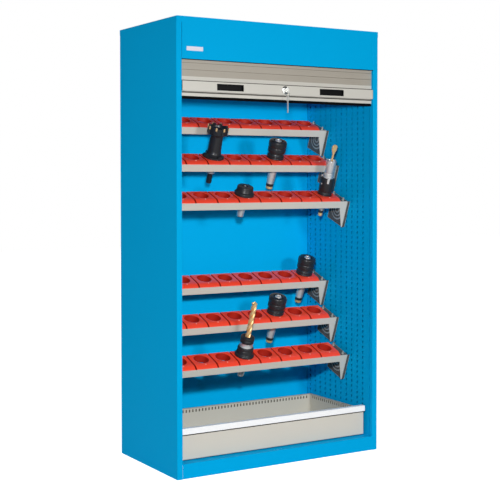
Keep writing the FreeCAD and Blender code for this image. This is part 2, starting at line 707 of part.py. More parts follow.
def lock_and_keys():
    """Cylinder lock in the rail with its turning plug and cam, a key in it and a spare on a ring."""
    x = S.lock_offset
    rose_face = band_face - S.rose_thick
    rose = pad("rose_disc", "XZ", round_corners(S.lock_rose, x, lock_level), rose_face, band_face)
    barrel = pad("housing_bar", "XZ", round_corners(S.lock_body, x, lock_level), band_face, housing_back)
    bore = rod("housing_bore", S.plug_radius + S.running_gap, "y",
               (x, band_face - S.rose_thick - 1, lock_level), housing_back - band_face + S.rose_thick + 2)
    node("lock_housing", cut("housing", fuse("housing_blank", rose, barrel), bore))

    plug_face = band_face - S.rose_thick - S.seam
    bow_middle = front - S.key_reach + S.key_bow
    keyed = key("used_key", x, bow_middle, lock_level, "y", S.blade_length)
    eye_level = lock_level - S.eye_offset
    through = (x - S.key_thick, x + S.key_thick)
    eye = pad("used_eye", "YZ", round_corners(S.key_eye, bow_middle, eye_level), *through)
    node("lock_key", cut("used_key_plate", keyed, eye))
    slack = S.fit_gap
    keyway = box("keyway", (x - S.key_thick / 2 - slack, x + S.key_thick / 2 + slack),
                 (plug_face - 1, bow_middle + S.key_bow + S.blade_length),
                 (lock_level - S.key_blade / 2 - slack, lock_level + S.key_blade / 2 + slack))
    plug = rod("plug_bar", S.plug_radius, "y", (x, plug_face, lock_level), cam_front - plug_face)
    node("lock_plug", cut("plug", plug, keyway))
    half = S.cam_width / 2
    tip = x - S.cam_length
    node("lock_cam", pad("cam_plate", "XZ", [
        (x + half, lock_level - half), (x + half, lock_level + half), (tip + half, lock_level + half),
        (tip, lock_level), (tip, lock_level - half)], cam_front, cam_front + S.cam_thick))

    wire = S.ring_wire / 2
    sag = S.key_eye - wire - S.ring_play
    ring_level = eye_level - sag - S.ring_radius
    bands = (bow_middle - wire, bow_middle + wire)
    disc = pad("ring_disc", "XZ", round_corners(S.ring_radius + wire, x, ring_level), *bands)
    hole = pad("ring_hole", "XZ", round_corners(S.ring_radius - wire, x, ring_level),
               bands[0] - wire, bands[1] + wire)
    node("key_ring", cut("ring", disc, hole))
    spare_eye = ring_level - S.ring_radius - sag
    spare = key("spare_blank", x, bow_middle, spare_eye - S.eye_offset, "z", S.spare_blade)
    loop = pad("spare_eye", "YZ", round_corners(S.key_eye, bow_middle, spare_eye), *through)
    node("spare_key", cut("spare_key_plate", spare, loop))


# Rack parts are drawn level, with the lip's front upper corner at the origin, and then placed.
rack_half = inner - S.bracket_width
insert_pitch = (rack_half - S.strip) * 2 / S.insert_count
rack_back = S.rack_depth - S.rack_metal
insert_foot = S.insert_proud - S.insert_height


def rack_spots():
    """Front upper corner (y, z) of each rack's lip by rack number: 1 is the highest."""
    spots = {}
    holes = rack_holes()
    for index, (column, row) in enumerate(holes):
        y, z = hole_place(column, row)
        spots[len(holes) - index] = (y - S.hook_reach, z)
    return spots


def tilted(y, z):
    """Placement of a rack whose lip corner is at y, z."""
    return Placement(Vector(0, y.value, z.value), Rotation(Vector(1, 0, 0), S.rack_tilt.value))


def placed(name, source, y, z):
    """A rack part moved from the drawing position to its own place."""
    moved = group(name, source)
    moved.Placement = tilted(y, z)
    bind(moved, "Placement.Base.y", y)
    bind(moved, "Placement.Base.z", z)
    return moved


def rack_frame():
    """Folded frame that holds the inserts: lip with tapering ears, rear rail, ledges and ends."""
    foot = -S.lip_height
    tip = -S.ear_height
    root = rack_half - S.strip
    lip = pad("rack_lip", "XZ", [
        (-rack_half, 0), (-rack_half, tip), (-rack_half + S.ear_tip, tip), (-root, foot),
        (root, foot), (rack_half - S.ear_tip, tip), (rack_half, tip), (rack_half, 0)], 0, S.rack_metal)
    rear = box("rack_rear", (-rack_half, rack_half), (rack_back, S.rack_depth), (foot, 0))
    ledge_z = (insert_foot - S.rack_metal, insert_foot)
    near = box("near_ledge", (-rack_half, rack_half), (S.rack_metal, S.rack_metal + S.ledge), ledge_z)
    far = box("far_ledge", (-rack_half, rack_half), (rack_back - S.ledge, rack_back), ledge_z)
    right = box("right_end", (root - S.rack_metal, root), (S.rack_metal, rack_back), (foot, 0))
    left = box("left_end", (-root, S.rack_metal - root), (S.rack_metal, rack_back), (foot, 0))
    return fuse("rack_sheet", lip, rear, near, far, right, left)


def rack_bracket():
    """Right bracket: a channel against the inner wall, a shelf inside the rack's end, two hooks."""
    web = rack_half + S.bracket_metal
    end = S.bracket_depth
    channel = pad("bracket_channel", "XY", [
        (rack_half, 0), (inner, 0), (inner, S.bracket_metal), (web, S.bracket_metal),
        (web, end - S.bracket_metal), (inner, end - S.bracket_metal), (inner, end), (rack_half, end)],
        -S.ear_height, 0)
    shelf = box("bracket_shelf", (rack_half - S.strip, rack_half), (S.rack_metal, rack_back),
                (-S.bracket_metal, 0))
    pieces = [channel, shelf]
    tilt = math.radians(S.rack_tilt.value)
    behind = inner + S.metal + S.seam
    half = S.hook_size / 2
    for number, drop in enumerate((S.hole_row * 0, S.hole_row * S.hook_rows)):
        y = S.hook_reach * math.cos(tilt) - drop * math.sin(tilt)
        z = -S.hook_reach * math.sin(tilt) - drop * math.cos(tilt)
        pieces.append(box("hook_%d" % number, (web, behind + S.bracket_metal), (y - half, y + half),
                          (z - half, z + half)))
        pieces.append(box("tooth_%d" % number, (behind, behind + S.bracket_metal), (y - half, y + half),
                          (z - half - S.tooth, z)))
    return fuse("bracket_sheet_right", *pieces)


def tool_insert():
    """Plastic insert with a sloping front and a many-sided socket through it."""
    half = (insert_pitch - S.insert_gap) / 2
    near = S.rack_metal + S.seam
    far = rack_back - S.seam
    block = pad("insert_block", "YZ", [
        (near, insert_foot), (far, insert_foot), (far, S.insert_proud), (S.insert_nose, S.insert_proud),
        (near, S.insert_edge)], -half, half)
    corners = [(x, y + S.socket_back) for x, y in many_sided(S.socket_bore, round(S.socket_sides.value))]
    bore = pad("insert_socket", "XY", corners, insert_foot - 1, S.insert_proud + 1)
    return cut("insert_body", block, bore)


def racks():
    """Six racks, each a frame on two brackets with eight inserts."""
    frame = rack_frame()
    bracket = rack_bracket()
    pair = group("rack_bracket_pair", bracket, mirrored("bracket_sheet_left", bracket))
    insert = tool_insert()
    doc.recompute()
    holders = {"upper": [], "lower": []}
    count = int(S.insert_count.value)
    for number, (y, z) in sorted(rack_spots().items()):
        node("rack_frame_%d" % number, placed("placed_frame_%d" % number, frame, y, z))
        spots = []
        for index in range(count):
            x = insert_pitch.value * (index - (count - 1) / 2)
            spots.append(tilted(y, z).multiply(Placement(Vector(x, 0, 0), Rotation())))
        node("tool_inserts_%d" % number, copies("insert_row_%d" % number, insert.Shape, spots))
        level = "upper" if number < 4 else "lower"
        holders[level].append(placed("placed_brackets_%d" % number, pair, y, z))
    node("rack_brackets_upper", group("upper_brackets", *holders["upper"]))
    node("rack_brackets_lower", group("lower_brackets", *holders["lower"]))


# Drawer: levels and planes.
drawer_foot = S.plinth + S.drawer_base
drawer_top = drawer_foot + S.drawer_height
panel_top = drawer_top - S.handle_height
body_foot = drawer_foot + S.drawer_lift
rim = drawer_top - S.drawer_rim
drawer_half = inner - S.drawer_side_gap
front_half = drawer_half + S.front_lap
panel_face = front + S.drawer_setback
body_front = panel_face + S.front_depth
body_back = panel_face + S.drawer_length


def drawer():
    """Drawer body with its folded rim and divider slots, its front panel and its handle strip."""
    wall = S.drawer_metal
    half = drawer_half
    block = box("drawer_block", (-half, half), (body_front, body_back), (body_foot, rim))
    hollow = box("drawer_hollow", (-half + wall, half - wall), (body_front + wall, body_back - wall),
                 (body_foot + wall, rim - wall))
    mouth = box("drawer_mouth", (-half + S.rim_fold, half - S.rim_fold),
                (body_front + S.rim_fold, body_back - S.rim_fold), (rim - wall * 2, rim + 1))
    punch = Part.makeBox(S.slot_width.value, wall.value * 3, S.slot_height.value)
    places = []
    foot = (rim - S.slot_drop - S.slot_height).value
    per_side = int((half.value - S.slot_pitch.value) / S.slot_pitch.value / 2)
    for index in range(-per_side, per_side + 1):
        x = index * S.slot_pitch.value * 2 - S.slot_width.value / 2
        places.append(Placement(Vector(x, (body_back - wall * 2).value, foot), Rotation()))
    slots = copies("divider_slots", punch, places)
    node("drawer_box", cut("drawer_body", block, hollow, mouth, slots))

    skin = S.metal
    panel = pad("front_sheet", "YZ", [
        (panel_face, drawer_foot), (body_front, drawer_foot), (body_front, drawer_foot + skin),
        (panel_face + skin, drawer_foot + skin), (panel_face + skin, panel_top - skin),
        (body_front, panel_top - skin), (body_front, panel_top), (panel_face, panel_top)],
        -front_half, front_half)
    node("drawer_front", rounded("front_folds", panel, "x", [
        (outside_fold, panel_face, drawer_foot), (S.fold_radius, panel_face + skin, drawer_foot + skin)]))
    face = panel_face - S.handle_reach
    sheet_wall = S.handle_wall
    strip = pad("handle_strip", "YZ", [
        (face, panel_top), (face + sheet_wall, panel_top), (face + sheet_wall, drawer_top - sheet_wall),
        (body_front - sheet_wall, drawer_top - sheet_wall), (body_front - sheet_wall, panel_top),
        (body_front, panel_top), (body_front, drawer_top), (face, drawer_top)], -front_half, front_half)
    node("drawer_handle", rounded("handle_edges", strip, "x", [(sheet_wall, face, drawer_top)]))


def runners():
    """Three nested channels a side: one on the inner wall, one on the drawer and one between."""
    steel = S.runner_metal
    level = body_foot + S.runner_level
    tall = S.runner_height / 2
    start = body_front + S.front_depth
    stop = start + S.runner_length

    def channel(name, web, open_to, outer):
        """A channel with its web's outer face at web, whose flanges run in the direction open_to."""
        lap = web + S.runner_lap * open_to
        skin = web + steel * open_to
        return pad(name, "XZ", [
            (web, level - outer), (lap, level - outer), (lap, level - outer + steel),
            (skin, level - outer + steel), (skin, level + outer - steel), (lap, level + outer - steel),
            (lap, level + outer), (web, level + outer)], start, stop)

    step = steel + S.runner_gap
    fixed = channel("outer_channel", inner, -1, tall)
    middle = channel("middle_channel", inner - steel - S.runner_web_gap, -1, tall - step)
    moving = channel("inner_channel", drawer_half, 1, tall - step * 2)
    node("runner_outers", group("outer_pair", fixed, mirrored("left_outer", fixed)))
    node("runner_middles", group("middle_pair", middle, mirrored("left_middle", middle)))
    node("runner_inners", group("inner_pair", moving, mirrored("left_inner", moving)))


# Loose tools: the rack and place of each, such as 2C for the third insert of the second rack from
# the top, and its outline as (radius, height above the insert) corners, from the foot up.
CHUCK = [(9, -157), (16, -150), (16, -140), (17.5, -138), (17.5, -128), (17, -126), (26.5, -2), (26.5, 0),
         (40, 0), (40, 16), (37.5, 18), (37.5, 23), (41, 25), (41, 80), (37, 85)]
TOOLS = {
    "face_mill": ("2C", [(10, -124), (12.5, -120), (12.5, -80), (20, -74), (26.5, -2), (26.5, 0), (49, 0),
                         (49, 8), (32, 22), (28, 108), (46, 112), (46, 145)]),
    "collet_chuck_1": ("2F", CHUCK),
    "collet_chuck_2": ("4H", CHUCK),
    "collet_chuck_3": ("5F", CHUCK),
    "cup_holder": ("3D", [(13, -105), (15.5, -102), (26.5, -2), (26.5, 0), (44, 0), (44, 14), (37, 20),
                          (36, 40)]),
    "drill_chuck": ("3H", [(7, -110), (10, -106), (10, -94), (13, -80), (22, -2), (22, 0), (33, 0), (33, 80),
                           (25, 83), (25, 168), (4.5, 168), (4.5, 205)]),
    "twist_drill_holder": ("6D", [(13, -105), (16, -101), (26.5, -2), (26.5, 0), (44, 0), (44, 8), (34, 26),
                                  (33, 45), (29, 47), (29, 65), (31, 67), (31, 93), (24, 97), (12.5, 97),
                                  (12.5, 258), (2, 267)]),
}
# The flat cutting blade on top of the drill chuck, as (side, height above the insert) corners.
BLADE = [(-4, 198), (4, 198), (13, 217), (13, 232), (5, 242), (-5, 242), (-13, 232), (-13, 217)]


def loose_tools():
    """Tool holders that stand in the inserts, each free to be lifted out."""
    count = S.insert_count.value
    spots = rack_spots()
    for label, (seat_name, corners) in TOOLS.items():
        y, z = spots[int(seat_name[0])]
        index = "ABCDEFGH".index(seat_name[1])
        x = insert_pitch.value * (index - (count - 1) / 2)
        body = turned(label + "_body", corners)
        if label == "drill_chuck":
            body = fuse("chuck_and_drill", body, pad("drill_blade", "XZ", BLADE, -3, 3))
        seat = Placement(Vector(x, S.socket_back.value, S.insert_proud.value), Rotation())
        body.Placement = tilted(y, z).multiply(seat)
        node(label, body)


cabinet_shell()
cabinet_base()
inner_walls()
curtain_guides()
slat_body = pad("slat_outline_body", "YZ", slat_profile(), -slat_end, slat_end)
doc.recompute()
curtain_slats(slat_body)
winding_gear(roll_frame()[0])
bottom_rail()
lock_and_keys()
racks()
drawer()
runners()
loose_tools()
doc.recompute()

for thing in doc.Objects:
    if "Invalid" in thing.State or "Error" in thing.State:
        raise RuntimeError("%s (%s) did not compute: %s" % (thing.Name, thing.Label, thing.State))
for label, thing in nodes.items():
    if thing.Shape.isNull() or not thing.Shape.isValid() or not thing.Shape.Solids:
        raise RuntimeError("%s has no valid solid" % label)

os.makedirs("parts", exist_ok=True)
for label, thing in nodes.items():
    thing.Shape.exportStep("parts/%s.step" % label)
    print("%-22s %3d solids %12.0f mm3" % (label, len(thing.Shape.Solids), thing.Shape.Volume))
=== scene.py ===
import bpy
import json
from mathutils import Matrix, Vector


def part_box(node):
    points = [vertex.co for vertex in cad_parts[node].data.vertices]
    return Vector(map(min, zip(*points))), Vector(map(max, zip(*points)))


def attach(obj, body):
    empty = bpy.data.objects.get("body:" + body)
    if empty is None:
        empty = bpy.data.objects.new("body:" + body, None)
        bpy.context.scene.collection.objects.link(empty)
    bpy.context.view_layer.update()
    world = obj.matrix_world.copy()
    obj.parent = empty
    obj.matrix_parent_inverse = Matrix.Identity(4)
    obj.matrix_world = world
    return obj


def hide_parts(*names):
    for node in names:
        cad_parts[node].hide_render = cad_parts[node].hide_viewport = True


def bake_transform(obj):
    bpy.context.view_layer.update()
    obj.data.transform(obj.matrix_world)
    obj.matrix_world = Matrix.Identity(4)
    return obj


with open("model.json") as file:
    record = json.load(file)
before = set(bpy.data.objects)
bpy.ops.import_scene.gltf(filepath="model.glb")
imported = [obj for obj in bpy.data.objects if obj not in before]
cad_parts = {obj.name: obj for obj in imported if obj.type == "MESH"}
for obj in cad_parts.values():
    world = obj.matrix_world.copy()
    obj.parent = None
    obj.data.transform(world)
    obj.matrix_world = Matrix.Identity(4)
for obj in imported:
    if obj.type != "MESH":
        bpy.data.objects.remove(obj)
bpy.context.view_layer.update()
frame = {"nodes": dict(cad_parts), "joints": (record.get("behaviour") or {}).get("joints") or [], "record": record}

import json
import math

import bmesh
import bpy
from mathutils import Matrix, Vector

scene = bpy.context.scene
nodes = frame["nodes"]

# --- Floor, light and camera -------------------------------------------------------------------
# A white floor in a white surround, a soft lamp in front on the left, a wider one in front on the
# right, and one on each side and behind, all of even strength at any distance, as in a large studio.

scene.view_settings.view_transform = "Standard"
floor_mesh = bmesh.new()
bmesh.ops.create_grid(floor_mesh, x_segments=1, y_segments=1, size=14)
floor_data = bpy.data.meshes.new("studio_floor")
floor_mesh.to_mesh(floor_data)
floor_mesh.free()
floor = bpy.data.objects.new("studio_floor", floor_data)
scene.collection.objects.link(floor)
floor_paint = bpy.data.materials.new("studio_floor_paint")
floor_paint.use_nodes = True
floor_shader = floor_paint.node_tree.nodes["Principled BSDF"]
floor_shader.inputs["Base Color"].default_value = (0.6, 0.6, 0.6, 1)
floor_shader.inputs["Roughness"].default_value = 0.9
floor_shader.inputs["Specular IOR Level"].default_value = 0.0
floor_shader.inputs["Emission Color"].default_value = (1, 1, 1, 1)
floor_seen = floor_paint.node_tree.nodes.new("ShaderNodeLightPath")
floor_paint.node_tree.links.new(floor_seen.outputs["Is Camera Ray"], floor_shader.inputs["Emission Strength"])
floor_data.materials.append(floor_paint)

# The surround is white where it is seen, and dimmer as a light.
surround = bpy.data.worlds.new("studio")
scene.world = surround
surround.use_nodes = True
backdrop = surround.node_tree.nodes["Background"]
backdrop.inputs["Color"].default_value = (1, 1, 1, 1)
backdrop_seen = surround.node_tree.nodes.new("ShaderNodeLightPath")
backdrop_glow = surround.node_tree.nodes.new("ShaderNodeMapRange")
backdrop_glow.inputs["To Min"].default_value = 0.11
surround.node_tree.links.new(backdrop_seen.outputs["Is Camera Ray"], backdrop_glow.inputs["Value"])
surround.node_tree.links.new(backdrop_glow.outputs["Result"], backdrop.inputs["Strength"])


def soft_box(name, place, target, size, power):
    """A square lamp at place that faces target and lights near and far things alike."""
    lamp = bpy.data.lights.new(name, "AREA")
    lamp.shape = "SQUARE"
    lamp.size = size
    lamp.energy = power
    lamp.use_nodes = True
    even = lamp.node_tree.nodes.new("ShaderNodeLightFalloff")
    even.inputs["Strength"].default_value = 1
    lamp.node_tree.links.new(even.outputs["Constant"], lamp.node_tree.nodes["Emission"].inputs["Strength"])
    holder = bpy.data.objects.new(name, lamp)
    holder.location = place
    holder.rotation_euler = (Vector(target) - Vector(place)).to_track_quat("-Z", "Y").to_euler()
    scene.collection.objects.link(holder)


soft_box("left_front_lamp", (-1.62, -2.80, 1.51), (0, 0.1, 0.95), 0.14, 6.1)
soft_box("right_front_lamp", (0.50, -2.90, 1.50), (0, 0.1, 0.95), 0.4, 2.8)
soft_box("left_side_lamp", (-3.2, 0.1, 1.6), (-0.5, 0.1, 0.95), 0.8, 2.35)
soft_box("right_side_lamp", (3.2, 1.3, 0.6), (0.5, 0.1, 0.95), 0.9, 1.5)
soft_box("back_lamp", (0.25, 3.6, 0.7), (0, 0.25, 0.95), 0.9, 1.5)

camera = bpy.data.cameras.new("camera")
camera.sensor_width = 36
camera.lens = 82.076
camera.shift_x = -0.04947
camera.shift_y = -0.075
eye = bpy.data.objects.new("camera", camera)
eye.location = (-2.63603, -4.42134, 1.24464)
eye.rotation_euler = (math.radians(90 - 1.74565), 0, math.radians(-31.9706))
scene.collection.objects.link(eye)
scene.camera = eye

# --- Cabinet shell -----------------------------------------------------------------------------
# Side panels with their front posts, top cover, header fascia, plinth rail, back panel and floor:
# sheet steel, folded on a press brake and powder coated bright blue with a fine orange peel.


def shader_group(name, inputs, outputs):
    """A node group with named sockets, its input node and its output node."""
    group = bpy.data.node_groups.new(name, "ShaderNodeTree")
    for socket, kind, value in inputs:
        made = group.interface.new_socket(socket, in_out="INPUT", socket_type="NodeSocket" + kind)
        made.default_value = value
    for socket, kind in outputs:
        group.interface.new_socket(socket, in_out="OUTPUT", socket_type="NodeSocket" + kind)
    return group, group.nodes.new("NodeGroupInput"), group.nodes.new("NodeGroupOutput")


def arithmetic(tree, operation, *values):
    """A math step in a node tree, fed by numbers or by other nodes' sockets."""
    step = tree.nodes.new("ShaderNodeMath")
    step.operation = operation
    for socket, value in zip(step.inputs, values):
        if isinstance(value, (int, float)):
            socket.default_value = value
        else:
            tree.links.new(value, socket)
    return step.outputs[0]


# The skin that every finish here has: cloudy tint, uneven gloss and a fine grain. Stretch draws
# the grain out along an axis, as on rolled or brushed metal.
skin, skin_in, skin_out = shader_group(
    "skin",
    [("Colour", "Color", (0.5, 0.5, 0.5, 1)), ("Tint", "Float", 0.05), ("Cloud", "Float", 6.0),
     ("Grain", "Float", 700.0), ("Stretch", "Vector", (1, 1, 1)), ("Roughness", "Float", 0.4),
     ("Spread", "Float", 0.1)],
    [("Colour", "Color"), ("Roughness", "Float"), ("Height", "Float")])
skin_place = skin.nodes.new("ShaderNodeTexCoord")
skin_stretch = skin.nodes.new("ShaderNodeVectorMath")
skin_stretch.operation = "MULTIPLY"
skin.links.new(skin_place.outputs["Object"], skin_stretch.inputs[0])
skin.links.new(skin_in.outputs["Stretch"], skin_stretch.inputs[1])
skin_cloud = skin.nodes.new("ShaderNodeTexNoise")
skin_cloud.inputs["Detail"].default_value = 4
skin.links.new(skin_place.outputs["Object"], skin_cloud.inputs["Vector"])
skin.links.new(skin_in.outputs["Cloud"], skin_cloud.inputs["Scale"])
skin_grain = skin.nodes.new("ShaderNodeTexNoise")
skin_grain.inputs["Detail"].default_value = 2
skin.links.new(skin_stretch.outputs[0], skin_grain.inputs["Vector"])
skin.links.new(skin_in.outputs["Grain"], skin_grain.inputs["Scale"])
# The swing is seven parts cloud to three parts grain, about zero, and the tint follows it.
grain_share = 0.3
fine = arithmetic(skin, "MULTIPLY", skin_grain.outputs["Fac"], grain_share)
swing = arithmetic(skin, "MULTIPLY_ADD", skin_cloud.outputs["Fac"], 1 - grain_share, fine)
swing = arithmetic(skin, "SUBTRACT", swing, 0.5)
tint = arithmetic(skin, "MULTIPLY", skin_in.outputs["Tint"], 4)
tinted = skin.nodes.new("ShaderNodeHueSaturation")
skin.links.new(skin_in.outputs["Colour"], tinted.inputs["Color"])
skin.links.new(arithmetic(skin, "MULTIPLY_ADD", swing, tint, 1.0), tinted.inputs["Value"])
skin.links.new(tinted.outputs["Color"], skin_out.inputs["Colour"])
gloss = arithmetic(skin, "MULTIPLY_ADD", swing, skin_in.outputs["Spread"], skin_in.outputs["Roughness"])
skin.links.new(gloss, skin_out.inputs["Roughness"])
skin.links.new(skin_grain.outputs["Fac"], skin_out.inputs["Height"])


def on_screen(*colour):
    """A colour given as on screen, 0 to 255, in Blender's own terms."""
    shares = [part / 255 for part in colour]
    return [s / 12.92 if s < 0.04045 else ((s + 0.055) / 1.055) ** 2.4 for s in shares] + [1]


def finish(name, colour, roughness=0.4, metallic=0.0, tint=0.04, cloud=6.0, grain=700.0, stretch=(1, 1, 1),
           spread=0.1, relief=0.1, shine=0.5):
    """A finish with the skin above: colour as on screen, relief the strength of its grain."""
    made = bpy.data.materials.new(name)
    made.use_nodes = True
    tree = made.node_tree
    shader = tree.nodes["Principled BSDF"]
    shader.inputs["Metallic"].default_value = metallic
    shader.inputs["Specular IOR Level"].default_value = shine
    layer = tree.nodes.new("ShaderNodeGroup")
    layer.node_tree = skin
    layer.inputs["Colour"].default_value = on_screen(*colour)
    for socket, value in (("Tint", tint), ("Cloud", cloud), ("Grain", grain), ("Stretch", stretch),
                          ("Roughness", roughness), ("Spread", spread)):
        layer.inputs[socket].default_value = value
    bump = tree.nodes.new("ShaderNodeBump")
    bump.inputs["Strength"].default_value = relief
    bump.inputs["Distance"].default_value = 0.0003
    tree.links.new(layer.outputs["Height"], bump.inputs["Height"])
    tree.links.new(layer.outputs["Colour"], shader.inputs["Base Color"])
    tree.links.new(layer.outputs["Roughness"], shader.inputs["Roughness"])
    tree.links.new(bump.outputs["Normal"], shader.inputs["Normal"])
    return made


def paint_nodes(material, *names):
    """Gives CAD nodes their finish."""
    for name in names:
        nodes[name].data.materials.clear()
        nodes[name].data.materials.append(material)


def coloured(faces, material):
    """Gives faces one of their piece's materials, by its place in the piece's list."""
    for face in faces:
        face.material_index = material


def drawn(name):
    """A CAD node's solid as a shape with whole faces, ready to be dressed."""
    shape = bmesh.new()
    shape.from_mesh(nodes[name].data)
    coloured(shape.faces, 0)
    bmesh.ops.remove_doubles(shape, verts=shape.verts, dist=2e-6)
    bmesh.ops.dissolve_limit(shape, angle_limit=math.radians(0.5), verts=shape.verts, edges=shape.edges)
    return shape


def bevelled(shape, edges, width, steps):
    """Bevels some of a shape's edges and returns the new faces."""
    return bmesh.ops.bevel(shape, geom=edges, offset=width, offset_type="OFFSET", segments=steps, profile=0.5,
                           affect="EDGES", material=-1, clamp_overlap=True)["faces"]


def eased(shape, width, steps=2):
    """Rounds a shape's edges where its faces turn by more than 25 degrees."""
    sharp = [e for e in shape.edges if len(e.link_faces) == 2 and e.calc_face_angle() > math.radians(25)]
    for face in bevelled(shape, sharp, width, steps):
        face.smooth = True
    return shape


def made_object(name, shape, *materials):
    """Makes a shape an object at the origin, with its place in its mesh."""
    data = bpy.data.meshes.new(name)
    shape.to_mesh(data)
    shape.free()
    for material in materials:
        data.materials.append(material)
    piece = bpy.data.objects.new(name, data)
    scene.collection.objects.link(piece)
    return piece


def finished(name, shape, body, slot, *materials, stands_for=()):
    """Makes a shape a piece that rides on a body and may stand for CAD nodes."""
    piece = made_object(name, shape, *materials)
    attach(piece, body)
    if stands_for:
        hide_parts(*stands_for)


def block(shape, low, high, material=0):
    """Adds a block between two corners to a shape and returns its faces."""
    size = [b - a for a, b in zip(low, high)]
    middle = [(a + b) / 2 for a, b in zip(low, high)]
    place = Matrix.Translation(middle) @ Matrix.Diagonal((*size, 1))
    made = bmesh.ops.create_cube(shape, size=1, matrix=place)["verts"]
    faces = list({face for vert in made for face in vert.link_faces})
    coloured(faces, material)
    return faces


blue = finish("blue_powder_coat", (0, 170, 229), 0.5, tint=0.012, cloud=2.5, grain=900, spread=0.06,
              relief=0.12, shine=0.02)
paint_nodes(blue, "left_side_panel", "right_side_panel", "back_panel", "top_cover", "header_fascia",
            "roll_cover", "plinth_rail", "floor_pan")

# --- Name plate --------------------------------------------------------------------------------
# A small blank plate of white lacquered aluminium with eased edges, glued to the fascia's left end.
# It stands a little proud of the blue sheet.

plate_white = finish("plate_white_lacquer", (226, 226, 240), 0.3, tint=0.01, relief=0.03)
fascia_low, fascia_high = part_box("header_fascia")
plate_wide = 0.076
plate_tall = 0.0175
plate_left = fascia_low.x + 0.0465
plate_foot = fascia_low.z + 0.0335
plate = bmesh.new()
block(plate, (plate_left, fascia_low.y - 0.0006, plate_foot),
      (plate_left + plate_wide, fascia_low.y + 0.0002, plate_foot + plate_tall))
eased(plate, 0.0003)
finished("name_plate", plate, "cabinet", "drawer_grey", plate_white)

# --- Fascia shade strip ------------------------------------------------------------------------
# A dark strip behind the fascia's lower edge, over the gap above the slats: painted shade, a dark
# sheet that stands for the shadow in that gap.

# Painted shade: the strip's dark colour stands for the shadow under the fascia's edge.
fascia_shade_paint = finish("painted_fascia_shade", (22, 40, 46), 0.9, tint=0.15, cloud=60, grain=1200, relief=0.4, shine=0.05)
shade_strip_inset = 0.004
shade_strip_below = 0.003
fascia_shade_strip = bmesh.new()
block(fascia_shade_strip, (fascia_low.x + shade_strip_inset, fascia_low.y + 0.002, fascia_low.z - shade_strip_below),
      (fascia_high.x - shade_strip_inset, fascia_low.y + 0.005, fascia_low.z + 0.001))
eased(fascia_shade_strip, 0.0005)
finished("painted_shade_strip", fascia_shade_strip, "cabinet", "black_rubber", fascia_shade_paint)

# --- Perforated inner walls --------------------------------------------------------------------
# Sheet steel walls inside the side panels, punched all over with tall holes that the racks hook
# into, and powder coated like the shell.

hole_wide = 0.0095
hole_tall = 0.0125
hole_row = 0.024
hole_column = 0.0435
first_hole_rise = 0.04
first_hole_inset = 0.028
wall_steel = 0.0015
wall_fold = 0.0235


def even_lines(first, last, start, pitch, size):
    """Places of the sheet's grid lines: its two edges and both sides of every hole between them."""
    lines = [first]
    middle = start
    while first + size < middle < last - size:
        lines += [middle - size / 2, middle + size / 2]
        middle += pitch
    return sorted(lines) + [last]


def perforated_sheet(name, node, face_x, outward):
    """A punched wall with folded ends: a grid on the holes' edges, without the holes' faces."""
    low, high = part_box(node)
    across = even_lines(low.y, high.y, high.y - first_hole_inset, -hole_column, hole_wide)
    up = even_lines(low.z, high.z, low.z + first_hole_rise, hole_row, hole_tall)
    shape = bmesh.new()
    bmesh.ops.create_grid(shape, x_segments=len(across) - 1, y_segments=len(up) - 1, size=1)
    for vert in shape.verts:
        column = round((vert.co.x + 1) / 2 * (len(across) - 1))
        row = round((vert.co.y + 1) / 2 * (len(up) - 1))
        vert.co = (face_x, across[column], up[row])
    holes = []
    for face in shape.faces:
        wide = max(v.co.y for v in face.verts) - min(v.co.y for v in face.verts)
        tall = max(v.co.z for v in face.verts) - min(v.co.z for v in face.verts)
        if abs(wide - hole_wide) < 1e-5 and abs(tall - hole_tall) < 1e-5:
            holes.append(face)
    bmesh.ops.delete(shape, geom=holes, context="FACES")
    bmesh.ops.recalc_face_normals(shape, faces=shape.faces)
    if shape.faces[:][0].normal.x * outward > 0:
        bmesh.ops.reverse_faces(shape, faces=shape.faces)
    bmesh.ops.solidify(shape, geom=shape.faces[:], thickness=wall_steel)
    near, far = sorted((face_x, face_x + outward * wall_fold))
    for edge_y in (low.y, high.y - wall_steel):
        block(shape, (near, edge_y, low.z), (far, edge_y + wall_steel, high.z))
    finished(name, shape, "cabinet", "cabinet_blue", blue, stands_for=[node])


perforated_sheet("right_perforated_wall", "right_inner_wall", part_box("right_inner_wall")[0].x, 1)
perforated_sheet("left_perforated_wall", "left_inner_wall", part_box("left_inner_wall")[1].x, -1)

# --- Curtain guides ----------------------------------------------------------------------------
# Two roll-formed channels behind the posts' returns, in which the slats run: steel, coated like the
# shell where they show.

paint_nodes(blue, "curtain_guides")

# --- Curtain -----------------------------------------------------------------------------------
# Extruded plastic slats, each hooked into the next, with a rib along its middle: three hang on the
# bottom rail, 54 lie on the barrel. The slats that pass between them are one piece.

slat_grey = finish("slat_plastic", (172, 165, 153), 0.42, tint=0.03, cloud=9, grain=500, stretch=(0.05, 1, 1),
                   spread=0.08, relief=0.1, shine=0.35)
# Darker grey for the faces in the slats' joints: painted shade.
painted_joint_shade = finish("slat_joint_painted_shade", (128, 122, 109), 0.6, tint=0.05, cloud=20, grain=500, relief=0.1,
                    shine=0.1)
slat_pitch = 0.028
paint_nodes(slat_grey, "wound_slats")

# The hanging slats: the faces in the joints between them are darker, painted shade for the shadow in the joints,
# and each has its rib added.
hang_low, hang_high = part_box("front_slats")
first_pivot = hang_high.z - 0.0023
joint_depth = 0.0008
rib_drop = slat_pitch * 0.57
rib_half = 0.0042
rib_slope = 0.0005
hanging = eased(drawn("front_slats"), 0.0004, 1)
coloured([face for face in hanging.faces
          if face.normal.y < -0.2 and face.calc_center_median().y > hang_low.y + joint_depth], 1)
for index in range(3):
    middle = first_pivot - slat_pitch * index - rib_drop
    rib = block(hanging, (hang_low.x, hang_low.y - 0.0007, middle - rib_half),
                (hang_high.x, hang_low.y + rib_slope, middle + rib_half))
    bevelled(hanging, list({edge for face in rib for edge in face.edges}), rib_slope, 1)
finished("hanging_slats", hanging, "shutter", "curtain_slats", slat_grey, painted_joint_shade,
         stands_for=["front_slats"])

